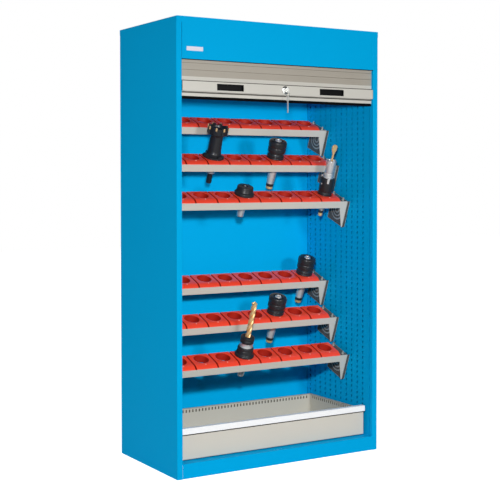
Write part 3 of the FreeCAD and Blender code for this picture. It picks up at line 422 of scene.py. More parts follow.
# The slats that pass: drawn at full length as with the curtain down, and then folded up to the
# height that they hold at rest, behind the fascia.
run_low, run_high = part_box("curtain_run")
slide = next(joint for joint in frame["joints"] if joint["name"] == "shutter_slide")
drop = -slide["range_m"][0]
fixed_end = run_high.z - 0.0013
moving_end = run_low.z + 0.0015


def rest_level(low_level):
    """Where a point of the lowered curtain lies at rest."""
    near, far = 0.0, 1.0
    for _ in range(40):
        share = (near + far) / 2
        reached = fixed_end - share * (fixed_end - moving_end) - share * share * (3 - 2 * share) * drop
        near, far = (share, far) if reached > low_level else (near, share)
    return fixed_end - share * (fixed_end - moving_end)


def corners_of(made):
    """The vertices among what an extrusion made."""
    return [item for item in made["geom"] if isinstance(item, bmesh.types.BMVert)]


passing = bmesh.new()
hook_tall = 0.0036
hook_slope = 0.0022
rib_front = run_low.y - 0.0006
rib_top = 0.012
rib_foot = 0.019
lowered = fixed_end - moving_end + drop
count = round(lowered / slat_pitch)
for index in range(count):
    top = fixed_end - index * lowered / count
    foot = top - slat_pitch + hook_tall * 0.4
    outline = [(run_low.y, top - hook_tall), (run_low.y + hook_slope, top), (run_high.y - hook_slope, top),
               (run_high.y, top - hook_tall), (run_high.y, foot), (run_low.y, foot),
               (run_low.y, top - rib_foot), (rib_front, top - rib_foot + rib_slope),
               (rib_front, top - rib_top - rib_slope), (run_low.y, top - rib_top)]
    end = passing.faces.new([passing.verts.new((run_low.x, y, z)) for y, z in outline])
    across = corners_of(bmesh.ops.extrude_face_region(passing, geom=[end]))
    bmesh.ops.translate(passing, verts=across, vec=(run_high.x - run_low.x, 0, 0))
bmesh.ops.recalc_face_normals(passing, faces=passing.faces)
# The hooks' sloping faces between the passing slats take the same painted shade of the joints.
coloured([face for face in passing.faces
          if run_low.y + 0.0005 < face.calc_center_median().y < run_low.y + 0.002], 1)
for vert in passing.verts:
    vert.co.z = rest_level(vert.co.z)
passing_slats = made_object("passing_slats", passing, slat_grey, painted_joint_shade)
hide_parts("curtain_run")
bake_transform(passing_slats)

# --- Barrel ------------------------------------------------------------------------------------
# Steel tube with nylon end plugs that turns on a fixed shaft, balanced by a long torsion spring,
# between two plates bolted to the side panels.

barrel_steel = finish("barrel_steel", (150, 152, 156), 0.38, metallic=0.9, tint=0.06, cloud=9, grain=260,
                      stretch=(0.1, 1, 1), spread=0.2)
black_nylon = finish("black_nylon", (14, 14, 16), 0.5, tint=0.1, cloud=20, grain=900, spread=0.15, shine=0.15,
                     relief=0.12)
paint_nodes(barrel_steel, "barrel_tube", "barrel_shaft", "barrel_brackets")
paint_nodes(black_nylon, "barrel_plugs")


def smoothed(shape, crease=math.inf):
    """Shades a shape smoothly, but for edges where it turns by more than crease degrees."""
    for face in shape.faces:
        face.smooth = True
    for edge in shape.edges:
        if len(edge.link_faces) == 2 and edge.calc_face_angle() > math.radians(crease):
            edge.smooth = False


spring_low, spring_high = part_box("torsion_spring")
spring_radius = (spring_high.z - spring_low.z) / 2
spring_wire = 0.0022
spring_turns = 56
spring_steps = spring_turns * 16
spring = bmesh.new()
bmesh.ops.create_circle(
    spring, segments=8, radius=spring_wire,
    matrix=Matrix.Translation((spring_low.x + spring_wire, 0, spring_radius - spring_wire))
    @ Matrix.Rotation(math.pi / 2, 4, "X"))
bmesh.ops.spin(spring, geom=spring.verts[:] + spring.edges[:], cent=(0, 0, 0), axis=(1, 0, 0),
               angle=math.tau * spring_turns, steps=spring_steps, use_merge=False, use_duplicate=False,
               dvec=((spring_high.x - spring_low.x - 2 * spring_wire) / spring_steps, 0, 0))
bmesh.ops.holes_fill(spring, edges=spring.edges, sides=8)
bmesh.ops.translate(spring, verts=spring.verts, vec=(0, (spring_low.y + spring_high.y) / 2,
                                                     (spring_low.z + spring_high.z) / 2))
bmesh.ops.recalc_face_normals(spring, faces=spring.faces)
smoothed(spring)
finished("coiled_spring", spring, "cabinet", "zinc_steel", barrel_steel, stands_for=["torsion_spring"])

# --- Bottom rail -------------------------------------------------------------------------------
# Aluminium extrusion with a raised band between two grooves, painted light grey: it carries the
# lock and two recessed pulls, has plastic caps on the band's ends and a rubber seal at its foot.

rail_grey = finish("rail_paint", (208, 205, 196), 0.4, tint=0.015, cloud=5, grain=400, stretch=(0.05, 1, 1),
                   spread=0.08, relief=0.06, shine=0.35)
# Dark grey for the rail's grooves: painted shade.
painted_groove_shade = finish("rail_groove_painted_shade", (84, 82, 76), 0.7, tint=0.08, cloud=20, grain=500, relief=0.1, shine=0.1)
rubber = finish("black_rubber", (10, 11, 12), 0.75, tint=0.1, cloud=15, grain=600, relief=0.2, shine=0.05)
rail_low, rail_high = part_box("bottom_rail")
groove_floor = rail_high.y - 0.0105
extrusion = eased(drawn("bottom_rail"), 0.0004)
# Dark strips in the rail's two grooves: painted shade, for the shadows along the band's steps.
for groove_foot, groove_head in ((0.0128, 0.0182), (0.0612, 0.0652)):
    block(extrusion, (rail_low.x + 0.001, groove_floor, rail_low.z + groove_foot),
          (rail_high.x - 0.001, groove_floor + 0.0012, rail_low.z + groove_head), 1)
finished("bottom_rail_extrusion", extrusion, "shutter", "rail_aluminium", rail_grey, painted_groove_shade,
         stands_for=["bottom_rail"])


def dressed(name, node, body, slot, material, width, steps=2):
    """Makes a CAD node's own solid a piece, with its edges rounded."""
    finished(name, eased(drawn(node), width, steps), body, slot, material, stands_for=[node])


dressed("rubber_seal", "rail_seal", "shutter", "black_rubber", rubber, 0.0012, 3)
dressed("band_caps", "rail_end_caps", "shutter", "black_plastic", black_nylon, 0.0005)
dressed("recessed_pulls", "rail_pulls", "shutter", "black_plastic", black_nylon, 0.0006)

# --- Lock and keys -----------------------------------------------------------------------------
# Nickel plated cylinder lock in the rail with a turned rose, its plug, a zinc plated steel cam behind
# and a flat key in it, from which a second key hangs on a wire ring.

zinc = finish("zinc_plate", (168, 172, 178), 0.35, metallic=0.85, tint=0.08, cloud=14, grain=300,
              stretch=(1, 1, 0.2), spread=0.25, relief=0.08)
nickel = finish("nickel_plate", (222, 223, 222), 0.2, metallic=1.0, tint=0.04, cloud=60, grain=1500,
                spread=0.12, relief=0.03)
dull_nickel = finish("worn_nickel", (236, 236, 232), 0.3, metallic=0.4, tint=0.08, cloud=90, grain=1500,
                     spread=0.2, relief=0.06)


def turned(outline, steps=48):
    """A solid of revolution about Z, from its outline of (radius, height) corners, foot first."""
    shape = bmesh.new()
    corners = [shape.verts.new((radius, 0, height)) for radius, height in outline]
    rims = [shape.edges.new(pair) for pair in zip(corners, corners[1:])]
    bmesh.ops.spin(shape, geom=corners + rims, cent=(0, 0, 0), axis=(0, 0, 1), angle=math.tau, steps=steps,
                   use_merge=True, use_duplicate=False)
    bmesh.ops.remove_doubles(shape, verts=shape.verts, dist=1e-6)
    bmesh.ops.recalc_face_normals(shape, faces=shape.faces)
    smoothed(shape, 30)
    return shape


lock_low, lock_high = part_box("lock_housing")
lock_middle = Vector(((lock_low.x + lock_high.x) / 2, lock_low.y, (lock_low.z + lock_high.z) / 2))
rose_radius = (lock_high.x - lock_low.x) / 2
lock_depth = lock_high.y - lock_low.y
plug_bore = 0.0081
rose = turned([(plug_bore, -lock_depth), (0.012, -lock_depth), (0.012, -0.002),
               (rose_radius - 0.0004, -0.002), (rose_radius, -0.0016), (rose_radius, -0.0012),
               (rose_radius - 0.0012, 0), (rose_radius - 0.004, 0), (rose_radius - 0.0046, -0.0007),
               (0.0098, -0.0007), (0.0092, 0), (plug_bore, 0), (plug_bore, -lock_depth)], 64)
face_forward = Matrix.Translation(lock_middle) @ Matrix.Rotation(math.pi / 2, 4, "X")
bmesh.ops.transform(rose, matrix=face_forward, verts=rose.verts)
finished("lock_rose", rose, "shutter", "lock_nickel", nickel, stands_for=["lock_housing"])
dressed("lock_barrel_plug", "lock_plug", "key", "lock_nickel", dull_nickel, 0.0004)
dressed("lock_cam_plate", "lock_cam", "key", "zinc_steel", zinc, 0.0006)
dressed("key_in_lock", "lock_key", "key", "lock_nickel", dull_nickel, 0.0003, 1)
dressed("hanging_key", "spare_key", "spare_key_on_ring", "lock_nickel", dull_nickel, 0.0003, 1)
ring_low, ring_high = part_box("key_ring")
ring_wire = (ring_high.y - ring_low.y) / 2
ring_radius = (ring_high.z - ring_low.z) / 2 - ring_wire
ring = bmesh.new()
bmesh.ops.create_circle(ring, segments=10, radius=ring_wire,
                        matrix=Matrix.Translation((ring_radius, 0, 0)))
bmesh.ops.rotate(ring, verts=ring.verts, cent=(ring_radius, 0, 0), matrix=Matrix.Rotation(math.pi, 3, "Y"))
bmesh.ops.spin(ring, geom=ring.verts[:] + ring.edges[:], cent=(0, 0, 0), axis=(0, 1, 0), angle=math.tau,
               steps=40, use_merge=True, use_duplicate=False)
bmesh.ops.remove_doubles(ring, verts=ring.verts, dist=1e-6)
bmesh.ops.recalc_face_normals(ring, faces=ring.faces)
smoothed(ring)
bmesh.ops.translate(ring, verts=ring.verts, vec=(ring_low + ring_high) / 2)
finished("wire_ring", ring, "spare_key_on_ring", "lock_nickel", nickel, stands_for=["key_ring"])

# --- Racks -------------------------------------------------------------------------------------
# Six folded steel frames, powder coated light grey, that slope down to the front, each on a pair of
# dark grey pressed brackets whose hooks hang in the walls' holes. They are dressed level, and then
# turned to their slope about the lip's upper front edge.

frame_grey = finish("rack_light_grey", (205, 201, 190), 0.42, tint=0.015, cloud=5, grain=800, relief=0.1,
                    shine=0.35)
bracket_dark = finish("bracket_dark_grey", (90, 85, 78), 0.42, tint=0.6, cloud=170, grain=700, relief=0.15,
                      shine=0.3)
# Light grey for the bolts, and for strips and rings on the brackets that are painted highlights.
bracket_highlight_and_bolt_grey = finish("bracket_painted_highlight_and_bolts", (176, 174, 168), 0.4, metallic=0.2, tint=0.12, cloud=40, grain=700)
lifts = [joint for joint in frame["joints"] if joint["name"].endswith("_lift")]
normal = Vector(lifts[0]["axis"])
sloped = Matrix.Rotation(math.atan2(-normal.y, normal.z), 4, "X")
levelled = sloped.inverted()


def level_box(name):
    """A node's low and high corners, once its rack is turned level."""
    places = [levelled @ vert.co for vert in nodes[name].data.vertices]
    return [Vector([pick(place[axis] for place in places) for axis in range(3)]) for pick in (min, max)]


racks = range(1, 7)
rack_corner = {}
for number in racks:
    frame_node = "rack_frame_%d" % number
    low, high = level_box(frame_node)
    rack_corner[number] = sloped @ Matrix.Translation((0, low.y, high.z))
    dressed("sloping_frame_%d" % number, frame_node, "cabinet", "rack_grey", frame_grey, 0.0006)
rack_half = high.x
rack_deep = high.y - low.y
inner_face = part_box("right_inner_wall")[0].x
web = 0.128
web_foot = -0.1284
shelf_inner = rack_half - 0.0345
line_wide = 0.0012
bolt_x = rack_half - 0.018


def added_to(shape, other):
    """Adds a second shape to a shape."""
    data = bpy.data.meshes.new("added")
    other.to_mesh(data)
    other.free()
    shape.from_mesh(data)
    bpy.data.meshes.remove(data)


def pressed_ring(shape, x, radius, width):
    """Adds a ring that is pressed out of the middle of a bracket's web, towards the rack, light grey as a painted
    highlight.
    """
    ring = bmesh.new()
    for edge in (radius, radius - width):
        bmesh.ops.create_circle(ring, segments=20, radius=edge)
    flat = bmesh.ops.bridge_loops(ring, edges=ring.edges[:])["faces"]
    raised = corners_of(bmesh.ops.extrude_face_region(ring, geom=flat))
    bmesh.ops.translate(ring, verts=raised, vec=(0, 0, 0.0014))
    bmesh.ops.scale(ring, vec=(0.96, 0.96, 1), verts=raised)
    bmesh.ops.recalc_face_normals(ring, faces=ring.faces)
    coloured(ring.faces, 1)
    place = Matrix.Translation((x, web / 2, -web / 2)) @ Matrix.Rotation(-math.pi / 2, 4, "Y")
    bmesh.ops.transform(ring, matrix=place, verts=ring.verts)
    added_to(shape, ring)


def pin(shape, x, y, z, foot_radius, head_radius, tall, sides, material=1):
    """Adds a small upright pin, screw or nut, with its middle at a place, to a shape."""
    made = bmesh.ops.create_cone(shape, segments=sides, radius1=foot_radius, radius2=head_radius, depth=tall,
                                 cap_ends=True, matrix=Matrix.Translation((x, y, z)))["verts"]
    coloured({face for vert in made for face in vert.link_faces}, material)


for level, numbers in (("upper", (1, 2, 3)), ("lower", (4, 5, 6))):
    brackets = eased(drawn("rack_brackets_" + level), 0.0005)
    for number in numbers:
        for side in (-1, 1):
            trim = bmesh.new()
            # Light strips round the shelf inside the rack's end, and round the web below it: painted highlights
            # along the edges.
            for y in (0.0024, rack_deep - 0.0036):
                block(trim, (shelf_inner, y, -0.0001), (rack_half - 0.001, y + line_wide, 0.0007), 1)
            for x in (shelf_inner, rack_half - 0.0022):
                block(trim, (x, 0.0036, -0.0001), (x + line_wide, rack_deep - 0.0036, 0.0007), 1)
            for x in (rack_half + 0.0002, inner_face - 0.0016):
                block(trim, (x, -0.0006, web_foot - 0.0008), (x + line_wide, 0.0006, -0.0005), 1)
            for y in (0.002, web - 0.0032):
                block(trim, (rack_half - 0.0006, y, web_foot - 0.0001),
                      (rack_half + 0.0006, y + line_wide, -0.003), 1)
            block(trim, (rack_half - 0.0006, 0.002, web_foot - 0.0014),
                  (rack_half + 0.0016, web - 0.002, web_foot), 1)
            # Bolts that hold the frame to the bracket's shelf, with their long ends up, and nuts.
            for y in (0.014, rack_deep - 0.016):
                pin(trim, bolt_x, y, 0.0072, 0.0034, 0.0031, 0.0145, 8)
                pin(trim, bolt_x, y, 0.0025, 0.0062, 0.0058, 0.005, 6)
            for radius in (0.018, 0.034, 0.050):
                pressed_ring(trim, rack_half - 0.0001, radius, 0.0045)
            if side < 0:
                bmesh.ops.scale(trim, vec=(-1, 1, 1), verts=trim.verts)
                bmesh.ops.reverse_faces(trim, faces=trim.faces)
            bmesh.ops.transform(trim, matrix=rack_corner[number], verts=trim.verts)
            added_to(brackets, trim)
    finished("pressed_brackets_" + level, brackets, "cabinet", "bracket_grey", bracket_dark, bracket_highlight_and_bolt_grey,
             stands_for=["rack_brackets_" + level])

# --- Tool inserts ------------------------------------------------------------------------------
# Moulded plastic tiles in signal red, eight to a rack, each with a round socket for a tool holder
# and a front that rolls down over the rack's lip, with a small bump there in pale pink, a painted highlight.

insert_red = finish("insert_red_plastic", (255, 74, 48), 0.3, tint=0.03, cloud=20, grain=900, spread=0.12,
                    relief=0.08, shine=0.5)
# Darker red for the socket walls and the tiles' sides: painted shade.
insert_red_painted_shade = finish("tile_socket_and_side_painted_shade", (176, 34, 18), 0.45, tint=0.05, cloud=20, grain=900, relief=0.1,
                     shine=0.3)
insert_painted_highlight = finish("insert_painted_highlight_dot", (255, 176, 160), 0.3, tint=0.03, relief=0.03)
insert_low, insert_high = level_box("tool_inserts_1")
lip = levelled @ rack_corner[1].translation
insert_pitch = 0.109125
insert_half = insert_high.x - 3.5 * insert_pitch - 0.0016
insert_front = 0.0004
insert_back = insert_high.y - lip.y
insert_top = insert_high.z - lip.z
insert_foot = insert_low.z - lip.z
lip_clearance = 0.0003
nose = 0.025
socket_radius = 0.034
socket_middle = 0.067

# One tile, drawn level with the lip's upper front edge at the origin. Its top comes first: the ring
# between the socket's circle and a border that is drawn out to the tile's oblong.
tile = bmesh.new()
bmesh.ops.create_circle(tile, segments=48, radius=socket_radius,
                        matrix=Matrix.Translation((0, socket_middle, insert_top)))
border = bmesh.ops.create_circle(tile, segments=48, radius=1)["verts"]
for vert in border:
    across = max(-1, min(1, vert.co.x * math.sqrt(2)))
    along = max(-1, min(1, vert.co.y * math.sqrt(2)))
    vert.co = (across * insert_half, (insert_front + insert_back) / 2
               + along * (insert_back - insert_front) / 2, insert_top)
bmesh.ops.bridge_loops(tile, edges=tile.edges[:])
bmesh.ops.recalc_face_normals(tile, faces=tile.faces)
if tile.faces[:][0].normal.z < 0:
    bmesh.ops.reverse_faces(tile, faces=tile.faces)
# Its sides and the socket's wall go down from there, and the front one stops at the lip.
sides = bmesh.ops.extrude_edge_only(tile, edges=[edge for edge in tile.edges if edge.is_boundary])
for vert in corners_of(sides):
    vert.co.z = lip_clearance if vert.co.y < 0.003 else insert_foot
# The socket's wall and the tile's sides take the darker red: painted shade for the socket's inside and the gaps
# between tiles.
for face in [item for item in sides["geom"] if isinstance(item, bmesh.types.BMFace)]:
    middle = face.calc_center_median()
    within = math.hypot(middle.x, middle.y - socket_middle) < socket_radius + 0.001
    if within or abs(middle.x) > insert_half - 0.001:
        face.material_index = 1
for y in (0.003, 0.006, 0.010, 0.015, 0.020, nose):
    bmesh.ops.bisect_plane(tile, geom=tile.verts[:] + tile.edges[:] + tile.faces[:], dist=1e-6,
                           plane_co=(0, y, 0), plane_no=(0, 1, 0))
rims = [edge for edge in tile.edges if len(edge.link_faces) == 2 and edge.calc_face_angle() > 1
        and min(vert.co.z for vert in edge.verts) > insert_top - 0.0005]
bevelled(tile, rims, 0.0024, 3)
# The nose rolls down in a curve to the lip.
lowest_nose = 0.001
for vert in tile.verts:
    share = 1 - min(1, max(0, vert.co.y / nose))
    if vert.co.z > lowest_nose:
        vert.co.z -= (insert_top - lowest_nose) * share ** 1.7
# A small bump on the front, coloured pale pink: a painted highlight.
pin(tile, 0, 0.021, insert_top, 0.003, 0.0024, 0.002, 12, 2)
bmesh.ops.recalc_face_normals(tile, faces=tile.faces)
smoothed(tile, 40)
tile_data = bpy.data.meshes.new("tile")
tile.to_mesh(tile_data)
tile.free()

for number in racks:
    row = bmesh.new()
    for index in range(8):
        row.from_mesh(tile_data)
        fresh = row.verts[-len(tile_data.vertices):]
        bmesh.ops.translate(row, verts=fresh, vec=((index - 3.5) * insert_pitch, 0, 0))
    bmesh.ops.transform(row, matrix=rack_corner[number], verts=row.verts)
    finished("insert_row_%d" % number, row, "cabinet", "insert_red", insert_red, insert_red_painted_shade, insert_painted_highlight,
             stands_for=["tool_inserts_%d" % number])
bpy.data.meshes.remove(tile_data)

# --- Loose tools -------------------------------------------------------------------------------
# Machine tool holders turned from steel: blackened bodies, ground tapers, gilt pull studs and
# coated cutting edges. Each is dressed upright, its insert's top at height 0, and then sloped.

blackened = finish("blackened_steel", (46, 47, 50), 0.34, metallic=0.3, tint=0.1, cloud=26, grain=500,
                   stretch=(1, 1, 0.15), spread=0.15, relief=0.12)
ground = finish("ground_steel", (212, 211, 210), 0.26, metallic=0.25, tint=0.06, cloud=30, grain=600,
                stretch=(0.15, 0.15, 1), spread=0.12, relief=0.06)
# Ground steel mirrors the room more as it turns away.
bright = ground.node_tree
turning = bright.nodes.new("ShaderNodeLayerWeight")
turning.inputs["Blend"].default_value = 0.42
mirroring = bright.nodes.new("ShaderNodeMapRange")
mirroring.inputs["From Min"].default_value = 0.03
mirroring.inputs["From Max"].default_value = 0.3
mirroring.inputs["To Min"].default_value = 0.25
mirroring.inputs["To Max"].default_value = 0.7
bright.links.new(turning.outputs["Facing"], mirroring.inputs["Value"])
bright.links.new(mirroring.outputs["Result"], bright.nodes["Principled BSDF"].inputs["Metallic"])
gilt = finish("gilt_coating", (250, 204, 142), 0.38, metallic=0.45, tint=0.1, cloud=60, grain=900,
              relief=0.05)


def cornered(outline, size):
    """An outline of (radius, height) corners in mm, in metres and with its corners broken."""
    path = [(0, outline[0][1])] + outline + [(0, outline[-1][1])]
    broken = []
    for before, corner, after in zip(path, path[1:], path[2:]):
        here = Vector(corner)
        reaches = [Vector(end) - here for end in (before, after)]
        cut = min([size] + [reach.length * 0.35 for reach in reaches])
        broken += [here + reach.normalized() * cut for reach in reaches]
    return [(0, path[0][1] / 1000)] + [tuple(spot / 1000) for spot in broken] + [(0, path[-1][1] / 1000)]


def zone(shape, material, low, high, inner=0.0, outer=math.inf):
    """Gives a material to the faces of a turned shape between two heights and two radii."""
    for face in shape.faces:
        middle = face.calc_center_median()
        if low <= middle.z <= high and inner <= math.hypot(middle.x, middle.y) <= outer:
            face.material_index = material


def studded(shape, low, high, count, material, ease, place, lean=0.0):
    """Adds blocks around a turned shape: low and high are the first one's corners, in mm."""
    for index in range(count):
        stud = bmesh.new()
        block(stud, [part / 1000 for part in low], [part / 1000 for part in high], material)
        eased(stud, ease / 1000)
        turn = Matrix.Rotation(math.tau * (index + place) / count, 4, "Z") @ Matrix.Rotation(lean, 4, "Y")
        bmesh.ops.transform(stud, matrix=turn, verts=stud.verts)
        added_to(shape, stud)


def stood(name, shape, foot):
    """Puts a tool whose foot is at a height, in mm, in its place on its insert."""
    low, high = level_box(name)
    rack_top = Matrix.Translation(((low.x + high.x) / 2, (low.y + high.y) / 2, low.z - foot / 1000))
    bmesh.ops.transform(shape, matrix=sloped @ rack_top, verts=shape.verts)
    body = next(body for body, held in frame["record"]["behaviour"]["bodies"].items() if name in held)
    finished("turned_" + name, shape, body, "tool_black", blackened, ground, gilt, stands_for=[name])


mill = turned(cornered([
    (10, -124), (12.5, -120), (12.5, -80), (20, -74), (26.5, -2), (26.5, 0), (49, 0), (49, 7.5),
    (40, 11), (33, 20), (30.5, 34), (28.2, 96), (29, 103), (40, 109), (43.5, 112), (43.5, 142),
    (30, 142), (27, 132)], 0.8))
zone(mill, 1, -0.0735, -0.001)
studded(mill, (33, -9, 110), (46.6, 5, 147), 8, 0, 1.2, 0.1)
studded(mill, (44, -2, 133), (48, 5.6, 147.6), 8, 2, 0.8, 0.1)
studded(mill, (34, -8, -0.5), (50, 8, 16), 2, 0, 1.2, 0.55)
stood("face_mill", mill, -124)

for name in ("collet_chuck_1", "collet_chuck_2", "collet_chuck_3"):
    chuck = turned(cornered([
        (9, -157), (16, -150), (16, -140), (17.5, -138), (17.5, -128), (17, -126), (26.5, -2), (26.5, 0),
        (40, 0), (40, 5), (37.6, 6.5), (37.6, 9.5), (40, 11), (40, 15), (35.5, 18), (34.5, 27), (41, 31),
        (41, 50), (39.6, 51.5), (39.6, 54.5), (41, 56), (41, 79), (37.2, 85), (24, 85), (21, 77), (17, 76),
        (16, 83), (10, 88), (8.5, 88), (7, 84)], 0.7))
    zone(chuck, 1, -0.1255, -0.001)
    zone(chuck, 2, -0.1505, -0.1385)
    zone(chuck, 1, 0.0765, 0.09, 0, 0.0161)
    studded(chuck, (38, -3.2, 58), (42, 3.2, 79.5), 6, 0, 0.9, 0.3)
    stood(name, chuck, -157)

cup = turned(cornered([
    (13, -105), (15.5, -102), (26.5, -2), (26.5, 0), (45, 0), (45, 12), (42, 15), (38, 17.5),
    (36.5, 38), (34.5, 40.5), (14, 40.5), (11.5, 34)], 0.8))
zone(cup, 1, -0.1015, -0.001)
stood("cup_holder", cup, -105)

drill = turned(cornered([
    (7, -110), (10, -106), (10, -94), (13, -80), (22, -2), (22, 0), (33, 0), (33, 12), (31, 13.5),
    (31, 17.5), (33, 19), (33, 79), (31.5, 81), (24, 83), (23, 90), (23, 104), (22, 105), (22, 108),
    (23, 109), (23, 164), (21.5, 167), (17, 168), (15, 160), (4.5, 160), (4.5, 203)], 0.6))
zone(drill, 2, -0.111, -0.0935)
zone(drill, 1, -0.0795, -0.001)
zone(drill, 1, 0.0822, 0.1682, 0.0046)
zone(drill, 2, 0.1679, 0.21, 0, 0.0046)
studded(drill, (18, -4.5, 146), (24.8, 4.5, 169), 3, 1, 1.2, 0.12)
studded(drill, (24, -5.5, 60), (33.6, 5.5, 88), 3, 1, 1.5, 0.02)
studded(drill, (31.2, -4, 50), (35, 4, 58), 1, 1, 1.3, 0.52)
# The spade bit's blade: flat, widening from its shank and rounded towards its tip.
blade_thick = 0.006
blade = bmesh.new()
flat = blade.faces.new([blade.verts.new((across / 1000, -blade_thick / 2, up / 1000)) for across, up in (
    (-4, 198), (4, 198), (12, 218), (13.5, 230), (12, 238), (4, 243), (-4, 243), (-12, 238), (-13.5, 230),
    (-12, 218))])
bmesh.ops.translate(blade, verts=corners_of(bmesh.ops.extrude_face_region(blade, geom=[flat])),
                    vec=(0, blade_thick, 0))
bmesh.ops.recalc_face_normals(blade, faces=blade.faces)
coloured(blade.faces, 2)
eased(blade, 0.0009)
added_to(drill, blade)
stood("drill_chuck", drill, -110)

twist = turned(cornered([
    (13, -105), (16, -101), (26.5, -2), (26.5, 0), (44, 0), (44, 8), (41, 11), (37.5, 14), (36.5, 30),
    (35.2, 31.5), (35.2, 34.5), (36.5, 36), (35, 44), (30, 47), (29.4, 65), (31.5, 67), (31.5, 79),
    (30, 80), (30, 83), (31.5, 84), (31.5, 92.5), (24, 97), (16.5, 97), (15, 92)], 0.7))
zone(twist, 1, -0.1005, -0.001)
zone(twist, 1, 0.0465, 0.0655)
# The drill itself: a section with two flutes, drawn up and turned as it rises, and a ground point.
drill_foot = 0.086
fluted_length = 0.172
point_length = 0.0085
rises = 40
flutes = bmesh.new()
section = bmesh.ops.create_circle(flutes, segments=24, radius=0.0125, cap_ends=True)["verts"]
for vert in section:
    angle = math.atan2(vert.co.y, vert.co.x)
    vert.co *= 0.4 + 0.6 * min(1, abs(math.sin(angle)) * 1.6)
end = flutes.faces[:]
for step in range(rises + 1):
    grown = bmesh.ops.extrude_face_region(flutes, geom=end)
    bmesh.ops.delete(flutes, geom=[face for face in end if face.is_valid], context="FACES_ONLY")
    rim = corners_of(grown)
    if step < rises:
        bmesh.ops.translate(flutes, verts=rim, vec=(0, 0, fluted_length / rises))
        bmesh.ops.rotate(flutes, verts=rim, cent=(0, 0, 0), matrix=Matrix.Rotation(math.radians(23), 3, "Z"))
    else:
        bmesh.ops.translate(flutes, verts=rim, vec=(0, 0, point_length))
        bmesh.ops.scale(flutes, verts=rim, vec=(0.1, 0.1, 1))
    end = [item for item in grown["geom"] if isinstance(item, bmesh.types.BMFace)]
bmesh.ops.recalc_face_normals(flutes, faces=flutes.faces)
coloured(flutes.faces, 2)
smoothed(flutes, 40)
bmesh.ops.translate(flutes, verts=flutes.verts, vec=(0, 0, drill_foot))
added_to(twist, flutes)
stood("twist_drill_holder", twist, -105)

# --- Drawer ------------------------------------------------------------------------------------
# Folded steel body, powder coated light grey, with rows of slots for dividers under its folded rim,
# a front with a fold near its foot, a white handle strip across its top and telescopic runners.

drawer_grey = finish("drawer_light_grey", (190, 188, 178), 0.42, tint=0.012, cloud=4, grain=800, relief=0.1,
                     shine=0.35)
# The front's grey is the drawer grey made lighter: painted light, for the light that falls on the front.
drawer_grey_painted_lit = finish("drawer_front_painted_lit_grey", (214, 208, 196), 0.42, tint=0.012, cloud=4, grain=800, relief=0.1,
                    shine=0.35)
# Dark grey for the slots and under the handle strip: painted shade.
painted_slot_and_handle_shade = finish("painted_slot_and_handle_shade", (92, 88, 80), 0.7, tint=0.08, cloud=20, grain=500, relief=0.1, shine=0.1)
handle_white = finish("handle_white", (255, 255, 255), 0.35, tint=0.008, cloud=4, grain=500,
                      stretch=(0.1, 1, 1), relief=0.05, shine=0.4)
body_low, body_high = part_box("drawer_box")
sheet_steel = 0.0012
slot_wide = 0.007
slot_tall = 0.013
slot_pitch = 0.017
slot_margin = 0.012
slot_top = body_high.z - 0.009
slot_foot = slot_top - slot_tall


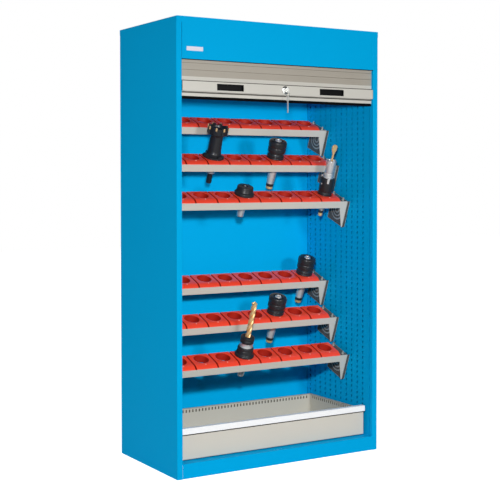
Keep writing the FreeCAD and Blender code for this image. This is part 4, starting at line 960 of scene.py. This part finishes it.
def slotted_wall(shape, first, last, plane, along, inward):
    """Adds a drawer wall, in a plane and along x or y, with a row of slots below its rim."""
    lines = [first]
    middle = first + slot_pitch
    while middle < last - slot_margin:
        lines += [middle - slot_wide / 2, middle + slot_wide / 2]
        middle += slot_pitch
    lines.append(last)
    levels = [body_low.z, slot_foot, slot_top, body_high.z]
    wall = bmesh.new()
    bmesh.ops.create_grid(wall, x_segments=len(lines) - 1, y_segments=3, size=1)
    open_faces = []
    for face in wall.faces:
        middle = face.calc_center_median()
        column = math.floor((middle.x + 1) / 2 * (len(lines) - 1))
        if column % 2 and abs(middle.y) < 0.3:
            open_faces.append(face)
    for vert in wall.verts:
        across = lines[round((vert.co.x + 1) / 2 * (len(lines) - 1))]
        level = levels[round((vert.co.y + 1) / 2 * 3)]
        vert.co = (across, plane, level) if along == "x" else (plane, across, level)
    bmesh.ops.delete(wall, geom=open_faces, context="FACES")
    bmesh.ops.recalc_face_normals(wall, faces=wall.faces)
    facing = wall.faces[:][0].normal
    if (facing.y if along == "x" else facing.x) * inward > 0:
        bmesh.ops.reverse_faces(wall, faces=wall.faces)
    bmesh.ops.solidify(wall, geom=wall.faces[:], thickness=sheet_steel)
    added_to(shape, wall)
    # A dark strip within the sheet's thickness closes the slots: painted shade, standing for the dark inside them.
    near, far = sorted((plane + inward * 0.0002, plane + inward * 0.0006))
    strip_low, strip_high = ((first, near), (last, far)) if along == "x" else ((near, first), (far, last))
    block(shape, (*strip_low, slot_foot - 0.002), (*strip_high, slot_top + 0.002), 1)


tray = bmesh.new()
slotted_wall(tray, body_low.x, body_high.x, body_high.y, "x", -1)
slotted_wall(tray, body_low.y, body_high.y, body_low.x, "y", 1)
slotted_wall(tray, body_low.y, body_high.y, body_high.x, "y", -1)
block(tray, body_low, (body_high.x, body_high.y, body_low.z + sheet_steel))
block(tray, body_low, (body_high.x, body_low.y + sheet_steel, body_high.z))
rim_wide = 0.008
for near, far in (((body_low.x, body_low.y), (body_high.x, body_low.y + rim_wide)),
                  ((body_low.x, body_high.y - rim_wide), (body_high.x, body_high.y)),
                  ((body_low.x, body_low.y + rim_wide), (body_low.x + rim_wide, body_high.y - rim_wide)),
                  ((body_high.x - rim_wide, body_low.y + rim_wide), (body_high.x, body_high.y - rim_wide))):
    block(tray, (*near, body_high.z - sheet_steel), (*far, body_high.z))
finished("drawer_tray", tray, "drawer", "drawer_grey", drawer_grey, painted_slot_and_handle_shade, stands_for=["drawer_box"])
# The front has a dark line where it meets the handle strip: painted shadow, as under the strip's edge.
panel = eased(drawn("drawer_front"), 0.0004)
panel_low, panel_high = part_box("drawer_front")
block(panel, (panel_low.x + 0.001, panel_low.y - 0.0004, panel_high.z - 0.0072),
      (panel_high.x - 0.001, panel_low.y + 0.0006, panel_high.z), 1)
finished("drawer_panel", panel, "drawer", "drawer_grey", drawer_grey_painted_lit, painted_slot_and_handle_shade, stands_for=["drawer_front"])
dressed("handle_strip", "drawer_handle", "drawer", "handle_white", handle_white, 0.0006, 3)
paint_nodes(zinc, "runner_outers", "runner_middles", "runner_inners")
